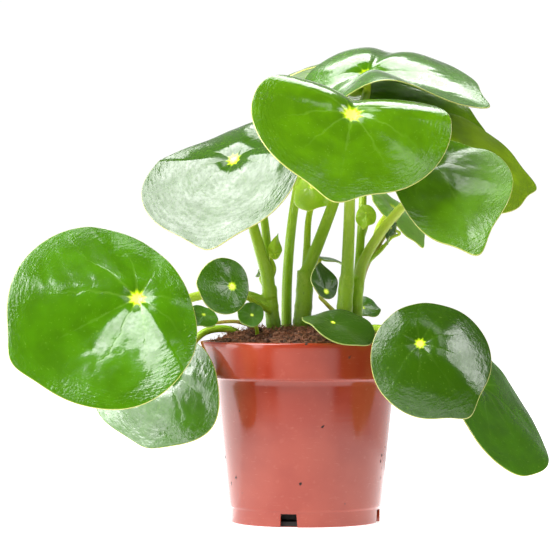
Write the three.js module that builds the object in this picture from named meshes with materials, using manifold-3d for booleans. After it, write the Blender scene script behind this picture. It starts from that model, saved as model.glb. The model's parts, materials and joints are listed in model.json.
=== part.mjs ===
// A raindrop peperomia in a round nursery pot.
// Millimetres, +Z up, the front of the plant towards -Y, the origin on the surface that the pot
// stands on, on the pot's axis. Every leaf is one blade held at a point inside its outline by a
// stalk, so a leaf is stated as: where its stalk meets it, which way its tip points, how far it
// reaches from that point, and how its blade bends.

import * as THREE from 'three';
import { mergeVertices } from 'three/addons/utils/BufferGeometryUtils.js';
import Module from 'manifold-3d';

const wasm = await Module();
wasm.setup();

const { atan2, cos, exp, hypot, max, sin, sqrt, PI } = Math;
const radians = THREE.MathUtils.degToRad;

// ---------------------------------------------------------------- pot and soil

const clearance = 0.35; // between two pieces that touch on the real plant

const pot = {
  height: 103,
  rimRadius: 60,
  rimHeight: 20.5,
  rimDraft: 1.2, // the rim is this much narrower at its lower edge
  rimLip: 2.2, // the thickness of the rolled edge at the top of the rim
  lipRound: 0.6, // the rounding of the rim's edges
  shoulderRadius: 51.2, // the body just under the rim
  shoulderStep: 1.2, // the flare that carries the rim
  footRadius: 43.7, // the body just above the foot
  footInset: 1.0,
  footDraft: 0.15,
  footStep: 0.9, // the slope between the foot and the body
  footHeight: 8.4,
  wall: 1.3,
  floor: 3,
  floorRound: 1.2, // the slope between the wall and the floor, inside
  padRadius: 26, // the flat middle of the underside
  ringWidth: 3.4,
  recess: 1.5, // the hollow ring between the middle and the foot
  sides: 40,
};

// The slots cut in the foot: how many, and the turn of the first one from the front.
const drain = { count: 4, first: -13, width: 9.9, height: 7.5, depth: 9 };

// edge and crown: the height of the soil at the rim and in the middle, before the lumps.
const soil = { edge: 99.5, crown: 109, sides: 32, rings: 5, lumps: 1.1 };

// ---------------------------------------------------------------- leaves

// at: where the stalk meets the blade; heading, pitch and roll in degrees: the compass direction
// of the tip (0 is +X, 90 is +Y), its rise, and the turn of the blade about its midrib.
// tip, base and half: reach to the tip, to the base and to each side.
// skew and egg: one side wider than the other, and the base end wider than the tip end.
// point: length of the drip tip. droop, hang and arch: fall of the tip, base and sides.
// lift: rise of the two lobes beside the base. twist: one side up at the tip, down at the base.
// wave: height of the low waves round the edge.
// ridges: folds that run out from the stalk, each as its angle from the tip in degrees, its height
// at the edge, which is negative for a valley, and its width in degrees.
const blade = {
  skew: 0, egg: 0.08, point: 4, droop: 5, hang: 2, arch: 5, lift: 0, twist: 0, wave: 0.5, ridges: [],
};

const leaves = {
  leaf_big_left: {
    at: [-93, -55, 127], heading: 196, pitch: -26, roll: -60, tip: 73, base: 27, half: 58.5,
    skew: -0.01, point: 5, droop: -5, hang: 0, arch: 7, lift: -8, ridges: [[10, -7, 30], [98, 12, 34]],
  },
  leaf_low_left: {
    at: [-75, -22, 84], heading: 215, pitch: -69, roll: -17, tip: 41, base: 22, half: 44,
    skew: -0.1, egg: -0.2, point: 3, droop: 1, hang: 4, arch: 1, twist: -4.5,
  },
  leaf_upper_left: {
    at: [-40, -14, 205], heading: 245, pitch: -55, roll: 6, tip: 53, base: 33, half: 50,
    egg: -0.2, point: 7, droop: 4, hang: 9, arch: -6, lift: -14,
  },
  leaf_crown_front: {
    at: [25, -50, 228.5], heading: 257, pitch: -50, roll: -20, tip: 56, base: 33, half: 55,
    egg: 0.12, point: 7, droop: 3, hang: 24, arch: 4,
    ridges: [[90, 9, 28], [125, 9, 30], [-125, 8, 35], [178, -10, 18]],
  },
  leaf_crown_back: {
    at: [37.5, 50, 258], heading: 338, pitch: -20, roll: 37, tip: 67, base: 39, half: 55,
    egg: 0, point: 12, droop: 2, hang: 16, arch: 18, ridges: [[-58, 50, 40], [100, -6, 11]],
  },
  leaf_under_crown: {
    at: [30, 66, 247], heading: 345, pitch: -12, roll: 35, tip: 75, base: 25, half: 37,
    egg: 0.14, point: 8, droop: 10, hang: 3, arch: 4,
  },
  leaf_right_back: {
    at: [81, 9.5, 206], heading: 16, pitch: -8, roll: 46, tip: 52, base: 26, half: 42,
    egg: 0.1, point: 8, droop: 8.5, arch: 2,
  },
  leaf_right_front: {
    at: [70, -26, 204], heading: 292, pitch: -31, roll: 11, tip: 66, base: 13, half: 33,
    skew: 0.07, egg: 0, point: 9, droop: 15, hang: -5, arch: -3, lift: 4, twist: 9,
  },
  leaf_low_right: {
    at: [61.5, -77, 102.9], heading: 332, pitch: -50, roll: 54, tip: 42, base: 23, half: 33.5,
    skew: 0.06, egg: 0, point: 5, droop: 9, hang: 3, arch: 12,
  },
  leaf_far_right: {
    at: [96, -38, 79], heading: 332, pitch: -59, roll: 2, tip: 60, base: 30, half: 40,
    skew: 0.04, egg: 0, point: -1, droop: -2, hang: 1, arch: 3, lift: 3, twist: 4.5,
  },
  leaf_rim_front: {
    at: [14.5, -62, 114], heading: 145, pitch: 29, roll: -13, tip: 17, base: 25, half: 19,
    point: 3, droop: 7, hang: 1, arch: -1,
  },
  leaf_small_left: {
    at: [-41, -50, 134], heading: 200, pitch: 5, roll: -79, tip: 20, base: 10, half: 16,
    point: 0.7, droop: 1.3, hang: 1, arch: 1.5,
  },
  leaf_tiny_left: {
    at: [-30, -42, 118], heading: 177, pitch: 23, roll: -57, tip: 8, base: 6.5, half: 8,
    point: 0.8, droop: 1.3, hang: 0.4, arch: 0.4,
  },
  leaf_hidden_left: {
    at: [-57, -36, 118], heading: 245, pitch: -30, roll: -30, tip: 10, base: 7, half: 9,
    point: 1, droop: 1.5, hang: 0.4, arch: 1,
  },
  leaf_dark_small: {
    at: [11, -46, 131], heading: 117, pitch: 68, roll: 7, tip: 17, base: 4.5, half: 8.3,
    point: 1, droop: 1, hang: 0, arch: 0.5, twist: -0.8,
  },
  leaf_back_left: {
    at: [-36, 47, 216], heading: 152, pitch: -22, roll: 6, tip: 48, base: 24, half: 35,
    point: 6, droop: 9, hang: 3, arch: 6,
  },
  leaf_back_high: {
    at: [9, 108, 265], heading: 120, pitch: -14, roll: -10, tip: 42, base: 20, half: 30,
    point: 6, droop: 9, hang: 3, arch: 5,
  },
  leaf_folded: {
    at: [4, 8, 191], heading: 262, pitch: -62, roll: 6, tip: 15, base: 9, half: 12,
    point: 1, droop: 1, hang: 1, arch: 8,
  },
  leaf_back_low: {
    at: [9, 45, 151], heading: 20, pitch: -10, roll: 5, tip: 16, base: 9, half: 11,
    point: 2, droop: 3, hang: 1, arch: 2,
  },
  leaf_pale_right: {
    at: [52, 48, 180], heading: 330, pitch: -42, roll: 0, tip: 27, base: 16, half: 18,
    point: 4, droop: 5, hang: 2, arch: 3,
  },
  leaf_back_right: {
    at: [34, 38, 121], heading: 60, pitch: 20, roll: 30, tip: 14, base: 8, half: 10,
    point: 1, droop: 2, hang: 0.5, arch: 1,
  },
  leaf_young_left: {
    at: [-17.5, -14.5, 152], heading: 60, pitch: 70, roll: 50, tip: 11, base: 3, half: 4,
    point: 2, droop: 1, hang: 0, arch: 1,
  },
  leaf_young_right: {
    at: [35, 8, 176], heading: 250, pitch: -70, roll: -10, tip: 9, base: 5, half: 6,
    point: 1.5, droop: 0, hang: 0, arch: 3,
  },
  leaf_dark_right: {
    at: [50, 8, 167], heading: 230, pitch: -60, roll: 25, tip: 8, base: 4.5, half: 5,
    point: 2.5, droop: 1, hang: 0, arch: 1,
  },
  leaf_tiny_back: {
    at: [-26, 12, 143], heading: 120, pitch: -50, roll: -60, tip: 4.5, base: 3, half: 3.2,
    point: 0.5, droop: 0.5, hang: 0, arch: 0.4,
  },
};

const largeFrom = 25; // a leaf whose tip reaches further than this is a large one
const thickness = { large: 1.5, small: 1.1, rim: 0.8 };
const tipWidth = 0.24; // the drip tip's half width, as an angle seen from the middle of the blade
const lobeRound = 0.14; // share of the half width over which the lobes part beside the midrib
const dimple = { large: 2.5, small: 1.2, radius: 7 }; // the hollow where the stalk meets the blade
const lobeShare = 1.6; // how much of the lift the lobes show
const waves = 5;
const youngLeaves = ['leaf_folded', 'leaf_young_left', 'leaf_young_right', 'leaf_pale_right'];

// ---------------------------------------------------------------- stems

const trunkFrom = 4; // a tube with a larger radius than this at its root is a trunk

// A stem is a bunch of tubes grown together. A tube runs through its points; where it names a
// leaf, it goes on to that leaf's underside and meets it square. start and end are its radii.
const stems = {
  stem_left: [
    { through: [[-17, -8, 90], [-17.5, -8, 108], [-19, -9, 120], [-20, -10, 134]], start: 4.6, end: 3.8 },
    { leaf: 'leaf_upper_left',
      through: [[-20, -10, 128], [-22, -12, 141], [-26, -13, 156], [-31, -10, 174]],
      start: 3.8, end: 2.3 },
    { leaf: 'leaf_big_left', through: [[-19, -9, 122], [-30, -12, 128], [-52, -22, 130], [-78, -32, 124]],
      start: 3, end: 2.3 },
    { leaf: 'leaf_back_left',
      through: [[-19, -9, 126], [-21, -4, 150], [-24, 8, 176]],
      start: 2.7, end: 2 },
    { leaf: 'leaf_young_left', through: [[-20, -10, 137], [-17.5, -12, 144]], start: 1.4, end: 1 },
    { leaf: 'leaf_tiny_back',
      through: [[-19, -8, 128], [-23, -2, 133], [-25.5, 5, 139]],
      start: 1, end: 0.8 },
    { leaf: 'leaf_small_left',
      through: [[-18, -9, 119], [-27, -20, 124], [-36, -33, 130]],
      start: 1.9, end: 1.2 },
  ],
  stem_back_left: [
    { leaf: 'leaf_back_high',
      through: [[-10, 8, 90], [-10.5, 8, 108], [-10, 12, 140], [-6, 32, 180], [4, 69, 228]],
      start: 3.2, end: 2.2 },
  ],
  stem_centre: [
    { through: [[-2, -4, 90], [-2, -4, 110], [-0.5, -4, 128], [0, -4, 143]], start: 5.6, end: 4.6 },
    { leaf: 'leaf_crown_back',
      through: [[0, -4, 140], [5, -4, 152], [12, -3, 170], [18, -2, 187], [30, 20, 231]],
      start: 3.6, end: 2.5 },
    { leaf: 'leaf_folded', through: [[0, -3.5, 138], [1, -1, 155], [2, 4, 172]], start: 2.4, end: 1.6 },
    { leaf: 'leaf_back_low', through: [[0, -3, 136], [-1, 6, 140], [2, 24, 141], [6, 38, 143]],
      start: 2.2, end: 1.5 },
  ],
  stem_right: [
    { through: [[22, -10, 90], [22, -10, 108], [22.5, -10, 124], [23.5, -10, 139]], start: 5.2, end: 4.2 },
    { leaf: 'leaf_crown_front',
      through: [[23.5, -10, 134], [24.2, -10.5, 150], [25, -13, 175], [25, -25, 202]],
      start: 3.8, end: 2.4 },
    { leaf: 'leaf_dark_small',
      through: [[22, -11, 114], [17, -20, 119], [11, -31, 125]],
      start: 1.6, end: 1 },
  ],
  stem_far_right: [
    { through: [[29, 1, 90], [29, 1, 108], [29, 1, 122], [30, 2, 138]], start: 4.4, end: 3.8 },
    { leaf: 'leaf_right_front', through: [[30, 2, 132], [33, 1, 147], [42, -3, 163], [53, -12, 177]],
      start: 3.2, end: 2.3 },
    { leaf: 'leaf_right_back', through: [[29.5, 2, 128], [34, 7, 145], [44, 14, 162], [58, 18, 181]],
      start: 2.8, end: 2.1 },
    { leaf: 'leaf_under_crown', through: [[30, 2, 136], [32, 9, 160], [34, 29, 190], [33, 54, 221]],
      start: 2.6, end: 2 },
    { leaf: 'leaf_pale_right',
      through: [[29.5, 2, 130], [33, 17, 145], [40, 32, 158]],
      start: 2.2, end: 1.5 },
    { leaf: 'leaf_young_right',
      through: [[31.5, 5, 148], [33, 11, 160], [36, 15, 170]],
      start: 1.4, end: 1 },
    { leaf: 'leaf_dark_right',
      through: [[36, 6.5, 148], [44, 10, 155], [50, 13, 162]],
      start: 1.3, end: 0.9 },
  ],
  stalk_low_left: [
    { leaf: 'leaf_low_left',
      through: [[-36, 4, 92], [-36.5, 4, 105], [-45, 3, 109.5], [-58, 1, 107.5], [-67, -4, 96]],
      start: 2.3, end: 2 },
  ],
  stalk_low_right: [
    { leaf: 'leaf_low_right',
      through: [[27, -26, 92], [28, -27, 106], [36, -36, 110.5], [46, -46, 109.5], [57, -56, 102]],
      start: 2.4, end: 1.9 },
  ],
  stalk_far_right: [
    { leaf: 'leaf_far_right',
      through: [[38, -8, 92], [39, -9, 106], [50, -14, 111], [62, -19, 107], [76, -26, 94]],
      start: 2.4, end: 2 },
  ],
  stalk_rim_front: [
    { leaf: 'leaf_rim_front',
      through: [[12, -36, 92], [12, -37, 104], [14, -48, 107.5]],
      start: 1.9, end: 1.4 },
  ],
  stalk_small_left: [
    { leaf: 'leaf_tiny_left',
      through: [[-27, -24, 92], [-27, -25, 107], [-28, -31, 112]],
      start: 1.4, end: 1 },
  ],
  stalk_hidden_left: [
    { leaf: 'leaf_hidden_left',
      through: [[-26, -12, 94], [-27, -13, 108], [-38, -20, 114]],
      start: 1.4, end: 1 },
  ],
  stalk_back_right: [
    { leaf: 'leaf_back_right',
      through: [[28, 26, 92], [28.5, 27, 106], [30, 31, 112]],
      start: 1.5, end: 1.1 },
  ],
};

const colours = { pot: 0xb8574a, soil: 0x3a231b, leaf: 0x3f8a1c, youngLeaf: 0x9bbf2a, stem: 0x86a82e };

// ---------------------------------------------------------------- solids

function toSolid(geometry) {
  const bare = geometry.clone();
  bare.deleteAttribute('normal');
  bare.deleteAttribute('uv');
  const merged = mergeVertices(bare, 1e-4);
  return new wasm.Manifold(new wasm.Mesh({
    numProp: 3,
    vertProperties: new Float32Array(merged.attributes.position.array),
    triVerts: new Uint32Array(merged.index.array),
  }));
}

function toGeometry(solid) {
  const mesh = solid.getMesh();
  const geometry = new THREE.BufferGeometry();
  geometry.setAttribute('position', new THREE.BufferAttribute(mesh.vertProperties, 3));
  geometry.setIndex(new THREE.BufferAttribute(mesh.triVerts, 1));
  geometry.computeVertexNormals();
  return geometry;
}

function fromGrid(points, triangles) {
  const geometry = new THREE.BufferGeometry();
  const numbers = points.flatMap((point) => point.toArray());
  geometry.setAttribute('position', new THREE.Float32BufferAttribute(numbers, 3));
  geometry.setIndex(triangles);
  geometry.computeVertexNormals();
  return geometry;
}

// A closed profile of [radius, height] pairs turned about the Z axis.
function turned(profile, sides) {
  const points = profile.map(([radius, height]) => new THREE.Vector2(radius, height));
  return new THREE.LatheGeometry(points, sides).rotateX(PI / 2);
}

// ---------------------------------------------------------------- leaf blades

function bladeAxes(leaf) {
  const [heading, pitch, roll] = [leaf.heading, leaf.pitch, leaf.roll].map(radians);
  const along = new THREE.Vector3(cos(pitch) * cos(heading), cos(pitch) * sin(heading), sin(pitch));
  const level = new THREE.Vector3(-sin(heading), cos(heading), 0);
  const upright = along.clone().cross(level);
  const across = level.clone().multiplyScalar(cos(roll)).addScaledVector(upright, sin(roll));
  const normal = upright.multiplyScalar(cos(roll)).addScaledVector(level, -sin(roll));
  return { along, across, normal };
}

// The outline at angle t from the tip: an egg with a drip tip at t = 0.
function bladeOutline(leaf, t) {
  const middle = (leaf.tip - leaf.base) / 2;
  const reach = (leaf.tip + leaf.base) / 2;
  const a = middle + reach * cos(t) + leaf.point * exp(-((t / tipWidth) ** 2));
  const b = leaf.half * (1 + leaf.skew * sin(t)) * sin(t) * (1 - leaf.egg * cos(t));
  return [a, b];
}

// The height of the blade above the plane of its midrib and stalk, at a along and b across.
function bladeHeight(leaf, a, b) {
  const ahead = max(a, 0) / leaf.tip;
  const behind = max(-a, 0) / leaf.base;
  const side = b / leaf.half;
  const apart = sqrt(side ** 2 + lobeRound ** 2) - lobeRound; // abs(side), rounded off at 0
  const radius = hypot(a, b);
  const angle = atan2(b, a);
  const open = 1 - exp(-((radius / dimple.radius) ** 2)); // 0 over the stalk, 1 outside the dimple
  const depth = leaf.tip > largeFrom ? dimple.large : dimple.small;
  const folds = leaf.ridges.reduce((sum, [at, rise, width]) => {
    const off = THREE.MathUtils.euclideanModulo(angle - radians(at) + PI, 2 * PI) - PI;
    return sum + rise * exp(-((off / radians(width)) ** 2));
  }, 0);
  return -leaf.droop * ahead ** 2 - leaf.hang * behind ** 2 - leaf.arch * side ** 2
    + leaf.lift * lobeShare * behind * apart + leaf.twist * (a / leaf.tip) * side
    + open * (depth + folds * (radius / leaf.half))
    + leaf.wave * (radius / leaf.half) ** 2 * sin(waves * angle);
}

// Both faces of the blade on the same fan of rings, joined round the edge.
function bladeGeometry(leaf) {
  const isLarge = leaf.tip > largeFrom;
  const [spokes, rings] = isLarge ? [26, 4] : [16, 2];
  const { along, across, normal } = bladeAxes(leaf);
  const origin = new THREE.Vector3(...leaf.at);
  const middle = isLarge ? thickness.large : thickness.small;
  const tipCrowding = 0.35; // brings spokes closer together at the drip tip

  const place = (a, b, offset) => origin.clone().addScaledVector(along, a).addScaledVector(across, b)
    .addScaledVector(normal, bladeHeight(leaf, a, b) + offset);
  const points = [place(0, 0, middle / 2), place(0, 0, -middle / 2)];
  for (let ring = 1; ring <= rings; ring += 1) {
    const share = ring / rings;
    const half = (middle + (thickness.rim - middle) * share ** 3) / 2;
    for (let spoke = 0; spoke < spokes; spoke += 1) {
      const turn = -PI + (2 * PI * (spoke + 0.5)) / spokes;
      const [a, b] = bladeOutline(leaf, turn - tipCrowding * sin(turn));
      points.push(place(a * share, b * share, half), place(a * share, b * share, -half));
    }
  }

  const index = (ring, spoke, face) => {
    if (ring === 0) return face;
    return 2 + 2 * ((ring - 1) * spokes + (spoke % spokes)) + face;
  };
  const triangles = [];
  for (let spoke = 0; spoke < spokes; spoke += 1) {
    triangles.push(index(0, 0, 0), index(1, spoke, 0), index(1, spoke + 1, 0));
    triangles.push(index(0, 0, 1), index(1, spoke + 1, 1), index(1, spoke, 1));
    for (let ring = 1; ring < rings; ring += 1) {
      for (const face of [0, 1]) {
        const corners = [index(ring, spoke, face), index(ring + 1, spoke, face),
          index(ring + 1, spoke + 1, face), index(ring, spoke + 1, face)];
        const [p, q, r, s] = corners;
        if (face === 0) triangles.push(p, q, r, p, r, s);
        else triangles.push(p, r, q, p, s, r);
      }
    }
    const [p, q] = [index(rings, spoke, 0), index(rings, spoke + 1, 0)];
    triangles.push(p, p + 1, q + 1, p, q + 1, q);
  }
  return fromGrid(points, triangles);
}

// ---------------------------------------------------------------- stems

// A round tube through the points, its radius going evenly from start to end. Its first end is
// pushed back and its radius widened by grow, to make the hole that it stands in.
function tubeSolid(points, start, end, sides, steps, grow) {
  const curve = new THREE.CatmullRomCurve3(points, false, 'centripetal');
  const frames = curve.computeFrenetFrames(steps, false);
  const rows = [];
  for (let step = 0; step <= steps; step += 1) {
    const share = step / steps;
    const centre = curve.getPointAt(share);
    if (step === 0) centre.addScaledVector(frames.tangents[0], -grow);
    const radius = start + (end - start) * share + grow;
    for (let side = 0; side < sides; side += 1) {
      const angle = (2 * PI * side) / sides;
      rows.push(centre.clone().addScaledVector(frames.normals[step], radius * cos(angle))
        .addScaledVector(frames.binormals[step], radius * sin(angle)));
    }
  }
  const first = rows.length;
  rows.push(curve.getPoint(0).addScaledVector(frames.tangents[0], -grow), curve.getPoint(1));
  const triangles = [];
  for (let side = 0; side < sides; side += 1) {
    const next = (side + 1) % sides;
    for (let step = 0; step < steps; step += 1) {
      const [p, q] = [step * sides + side, step * sides + next];
      triangles.push(p, q, q + sides, p, q + sides, p + sides);
    }
    triangles.push(first, next, side, first + 1, steps * sides + side, steps * sides + next);
  }
  return toSolid(fromGrid(rows, triangles));
}

function stalkEnd(leaf) {
  const { normal } = bladeAxes(leaf);
  const at = new THREE.Vector3(...leaf.at);
  const isLarge = leaf.tip > largeFrom;
  const underside = (isLarge ? thickness.large : thickness.small) / 2 + clearance;
  const approach = isLarge ? 11 : 5; // the last stretch runs square to the blade
  return [underside + approach, underside].map((depth) => at.clone().addScaledVector(normal, -depth));
}

function stemSolid(tubes, grow) {
  const solids = tubes.map((tube) => {
    const points = tube.through.map((point) => new THREE.Vector3(...point));
    if (tube.leaf) points.push(...stalkEnd({ ...blade, ...leaves[tube.leaf] }));
    const sides = tube.start > trunkFrom ? 10 : 6;
    const steps = tube.leaf ? 2 * (points.length - 1) : 3;
    return tubeSolid(points, tube.start, tube.end, sides, steps, grow);
  });
  return solids.reduce((whole, part) => whole.add(part));
}

// ---------------------------------------------------------------- pot and soil

function potSolid() {
  const { height, rimRadius, rimHeight, rimLip, lipRound, shoulderRadius, shoulderStep } = pot;
  const { footRadius, footInset, footHeight, wall, floor, floorRound, padRadius, recess } = pot;
  const shoulder = height - rimHeight;
  const foot = footRadius - footInset;
  const ringInner = foot - pot.ringWidth;
  const rimLower = rimRadius - pot.rimDraft;
  const profile = [
    [0, 0], [padRadius, 0], [padRadius + recess, recess], [ringInner - recess, recess],
    [ringInner, 0], [foot, 0], [foot + pot.footDraft, footHeight], [footRadius, footHeight + pot.footStep],
    [shoulderRadius, shoulder - shoulderStep], [shoulderRadius + shoulderStep, shoulder],
    [rimLower - lipRound, shoulder], [rimLower, shoulder + lipRound],
    [rimRadius, height - 2 * lipRound], [rimRadius - lipRound, height - lipRound / 3],
    [rimRadius - rimLip + lipRound, height], [rimRadius - rimLip, height - lipRound],
    [rimLower - wall, shoulder + 2 * wall], [shoulderRadius, shoulder + wall],
    [shoulderRadius - wall, shoulder - wall], [foot - wall, floor + floorRound],
    [foot - wall - floorRound, floor], [0, floor],
  ];
  let solid = toSolid(turned(profile, pot.sides));
  for (let turn = 0; turn < drain.count; turn += 1) {
    const cut = new THREE.BoxGeometry(drain.depth, drain.width, 2 * drain.height);
    cut.translate(foot + recess, 0, 0).rotateZ(radians(-90 + drain.first + (360 / drain.count) * turn));
    solid = solid.subtract(toSolid(cut));
  }
  return solid;
}

const soilRadius = pot.rimRadius - pot.rimLip - pot.lipRound;

// The soil fills the pot and is heaped over its rim: low lumps on a mound, from a few sine waves.
function soilHeight(x, y) {
  const share = hypot(x, y) / soilRadius;
  const mound = soil.edge + (soil.crown - soil.edge) * (1 - share ** 4);
  const lumps = sin(0.21 * x + 1.3) * cos(0.27 * y - 0.4) + 0.6 * sin(0.5 * x - 0.37 * y + 2.1);
  return mound + soil.lumps * lumps * (1 - share ** 6);
}

function soilSolid() {
  const shoulder = pot.height - pot.rimHeight;
  const foot = pot.footRadius - pot.footInset - pot.wall - clearance;
  const bend = pot.wall + clearance; // how far the soil's corners lie above the pot's
  const wall = [
    [soilRadius - clearance, soil.edge],
    [pot.rimRadius - pot.rimDraft - pot.wall - 2 * clearance, shoulder + pot.wall + bend],
    [pot.shoulderRadius - 2 * clearance, shoulder + bend + clearance],
    [pot.shoulderRadius - pot.wall - clearance, shoulder - bend],
    [foot, pot.floor + pot.floorRound + clearance],
    [foot - pot.floorRound - clearance, pot.floor + clearance],
  ];
  const top = new THREE.Vector3(0, 0, soilHeight(0, 0));
  const points = [top, new THREE.Vector3(0, 0, pot.floor + clearance)];
  const rows = [];
  for (let ring = 1; ring <= soil.rings; ring += 1) rows.push([(ring / soil.rings) * wall[0][0], null]);
  rows.push(...wall.slice(1));
  for (const [radius, height] of rows) {
    for (let side = 0; side < soil.sides; side += 1) {
      const angle = (2 * PI * side) / soil.sides;
      const [x, y] = [radius * cos(angle), radius * sin(angle)];
      points.push(new THREE.Vector3(x, y, height ?? soilHeight(x, y)));
    }
  }
  const index = (row, side) => 2 + row * soil.sides + (side % soil.sides);
  const triangles = [];
  for (let side = 0; side < soil.sides; side += 1) {
    triangles.push(0, index(0, side), index(0, side + 1));
    for (let row = 0; row + 1 < rows.length; row += 1) {
      const [p, q] = [index(row, side), index(row + 1, side)];
      const [r, s] = [index(row + 1, side + 1), index(row, side + 1)];
      triangles.push(p, q, r, p, r, s);
    }
    const last = rows.length - 1;
    triangles.push(1, index(last, side + 1), index(last, side));
  }
  return toSolid(fromGrid(points, triangles));
}

// ---------------------------------------------------------------- the whole plant

const plant = new THREE.Group();

function addPiece(name, geometry, colour, roughness) {
  const material = new THREE.MeshStandardMaterial({ color: colour, roughness, metalness: 0 });
  const piece = new THREE.Mesh(geometry, material);
  piece.name = name;
  plant.add(piece);
}

const holes = Object.values(stems).map((tubes) => stemSolid(tubes, clearance));
const filling = holes.reduce((whole, hole) => whole.subtract(hole), soilSolid());

addPiece('pot', toGeometry(potSolid()), colours.pot, 0.35);
addPiece('soil', toGeometry(filling), colours.soil, 0.95);
for (const [name, tubes] of Object.entries(stems)) {
  addPiece(name, toGeometry(stemSolid(tubes, 0)), colours.stem, 0.45);
}
for (const [name, leaf] of Object.entries(leaves)) {
  const colour = youngLeaves.includes(name) ? colours.youngLeaf : colours.leaf;
  addPiece(name, bladeGeometry({ ...blade, ...leaf }), colour, 0.3);
}

export default plant;
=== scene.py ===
"""A raindrop peperomia in a terracotta-coloured nursery pot.

Lengths in the classes that make meshes are millimetres, and become metres when a mesh is made.
Finishes and the studio are in metres, except that a leaf's own plane is in millimetres and the way
along a stem in centimetres. +Z is up, the front of the plant faces -Y, and the pot stands on the
plane Z = 0.
"""

import json
import logging
from dataclasses import dataclass, field
from enum import Enum
from typing import Sequence

import bpy
import numpy as np
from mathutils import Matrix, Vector

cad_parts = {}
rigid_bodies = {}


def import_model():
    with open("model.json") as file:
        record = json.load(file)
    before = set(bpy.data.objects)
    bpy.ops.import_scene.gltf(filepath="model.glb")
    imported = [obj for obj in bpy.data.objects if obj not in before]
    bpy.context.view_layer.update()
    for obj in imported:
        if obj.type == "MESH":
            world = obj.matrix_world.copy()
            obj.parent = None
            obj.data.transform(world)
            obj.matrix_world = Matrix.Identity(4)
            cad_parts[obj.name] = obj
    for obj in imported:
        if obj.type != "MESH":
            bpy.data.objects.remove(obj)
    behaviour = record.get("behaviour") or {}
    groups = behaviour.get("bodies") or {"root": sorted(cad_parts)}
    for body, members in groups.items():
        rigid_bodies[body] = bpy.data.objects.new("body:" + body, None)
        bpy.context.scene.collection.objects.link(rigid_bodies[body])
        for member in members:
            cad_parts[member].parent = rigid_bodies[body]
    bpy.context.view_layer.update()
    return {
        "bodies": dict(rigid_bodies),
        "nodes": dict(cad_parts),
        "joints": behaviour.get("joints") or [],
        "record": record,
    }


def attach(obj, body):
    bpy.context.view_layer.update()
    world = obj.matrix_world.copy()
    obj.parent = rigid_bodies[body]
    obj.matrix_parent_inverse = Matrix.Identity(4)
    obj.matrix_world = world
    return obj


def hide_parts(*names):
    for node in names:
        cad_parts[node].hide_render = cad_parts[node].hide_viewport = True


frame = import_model()

log = logging.getLogger("peperomia")
MM = 0.001
TAU = 2 * np.pi
Array = np.ndarray
Piece = bpy.types.Object
Material = bpy.types.Material
Node = bpy.types.Node
Socket = bpy.types.NodeSocket
Point = tuple[float, float, float]
Colour = tuple[float, float, float]
Value = Socket | float | Sequence[float] | None
Grain = tuple[float, float, float]  # scale, detail and roughness of a noise
Ramp = tuple[float, float, float, float]  # low and high, and the start and end that they become
Skin = tuple[Array, list[Array]]  # points and groups of faces

NERVE_SPACING = 0.698  # radians from one main nerve of a leaf to the next
NERVE_BEND = 0.004  # share by which a nerve's angle grows with each millimetre from the stalk


# ------------------------------------------------------------------------------ numpy surfaces


def unit(vectors: Array) -> Array:
    """The vectors of an array, each divided by its length."""
    return vectors / np.linalg.norm(vectors, axis=-1, keepdims=True)


def even_turn(sides: int) -> Array:
    """Angles at even steps round one whole turn, in radians."""
    return np.linspace(0, TAU, sides, endpoint=False)


def ring_faces(rows: int, sides: int) -> Array:
    """The four-cornered faces between closed rings of points.

    Args:
        rows: how many rings the points form.
        sides: how many points each ring has.
    Returns:
        One row of four point numbers for each face, ring after ring.
    """
    row, side = np.meshgrid(np.arange(rows - 1), np.arange(sides), indexing="ij")
    here, above = row * sides, (row + 1) * sides
    after = (side + 1) % sides
    return np.stack((here + side, here + after, above + after, above + side), -1).reshape(-1, 4)


def pole_faces(pole: int, first: int, sides: int, outward: bool) -> Array:
    """The triangles that close a ring onto one point.

    Args:
        pole: number of the middle point.
        first: number of the ring's first point.
        sides: how many points the ring has.
        outward: whether the ring is followed in its own order.
    Returns:
        One row of three point numbers for each triangle.
    """
    side = np.arange(sides)
    near, after = first + side, first + (side + 1) % sides
    pair = (near, after) if outward else (after, near)
    return np.stack((np.full(sides, pole), *pair), -1)


def closed_rings(rings: Array, start: Array, end: Array) -> Skin:
    """A closed skin over rings of points, with a pole at either end.

    Args:
        rings: the points, as rows of rings.
        start: the pole before the first ring.
        end: the pole after the last ring.
    Returns:
        The points in one list, with the poles last, and the groups of faces.
    """
    rows, sides = rings.shape[:2]
    points = np.concatenate((rings.reshape(-1, 3), start[None], end[None]))
    faces = [
        ring_faces(rows, sides),
        pole_faces(rows * sides, 0, sides, False),
        pole_faces(rows * sides + 1, (rows - 1) * sides, sides, True),
    ]
    return points, faces


def turned(profile: Array, sides: int) -> Array:
    """Rings round the Z axis: radius x cosine, radius x sine and height at each angle.

    Args:
        profile: radius and height, in rows.
        sides: how many points each ring has.
    Returns:
        The points, as rows of rings.
    """
    angle = even_turn(sides)
    radius, height = profile[:, :1], profile[:, 1:]
    return np.stack((radius * np.cos(angle), radius * np.sin(angle), height * np.ones(sides)), -1)


def copied_faces(faces: Sequence[Array], count: int, size: int) -> list[Array]:
    """The faces of many copies of one piece, whose points follow one another.

    Args:
        faces: the groups of faces of one copy.
        count: how many copies.
        size: how many points a copy has.
    Returns:
        The groups of faces of them all.
    """
    shift = np.arange(count)[:, None, None] * size
    return [(group[None] + shift).reshape(-1, group.shape[1]) for group in faces]


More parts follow.
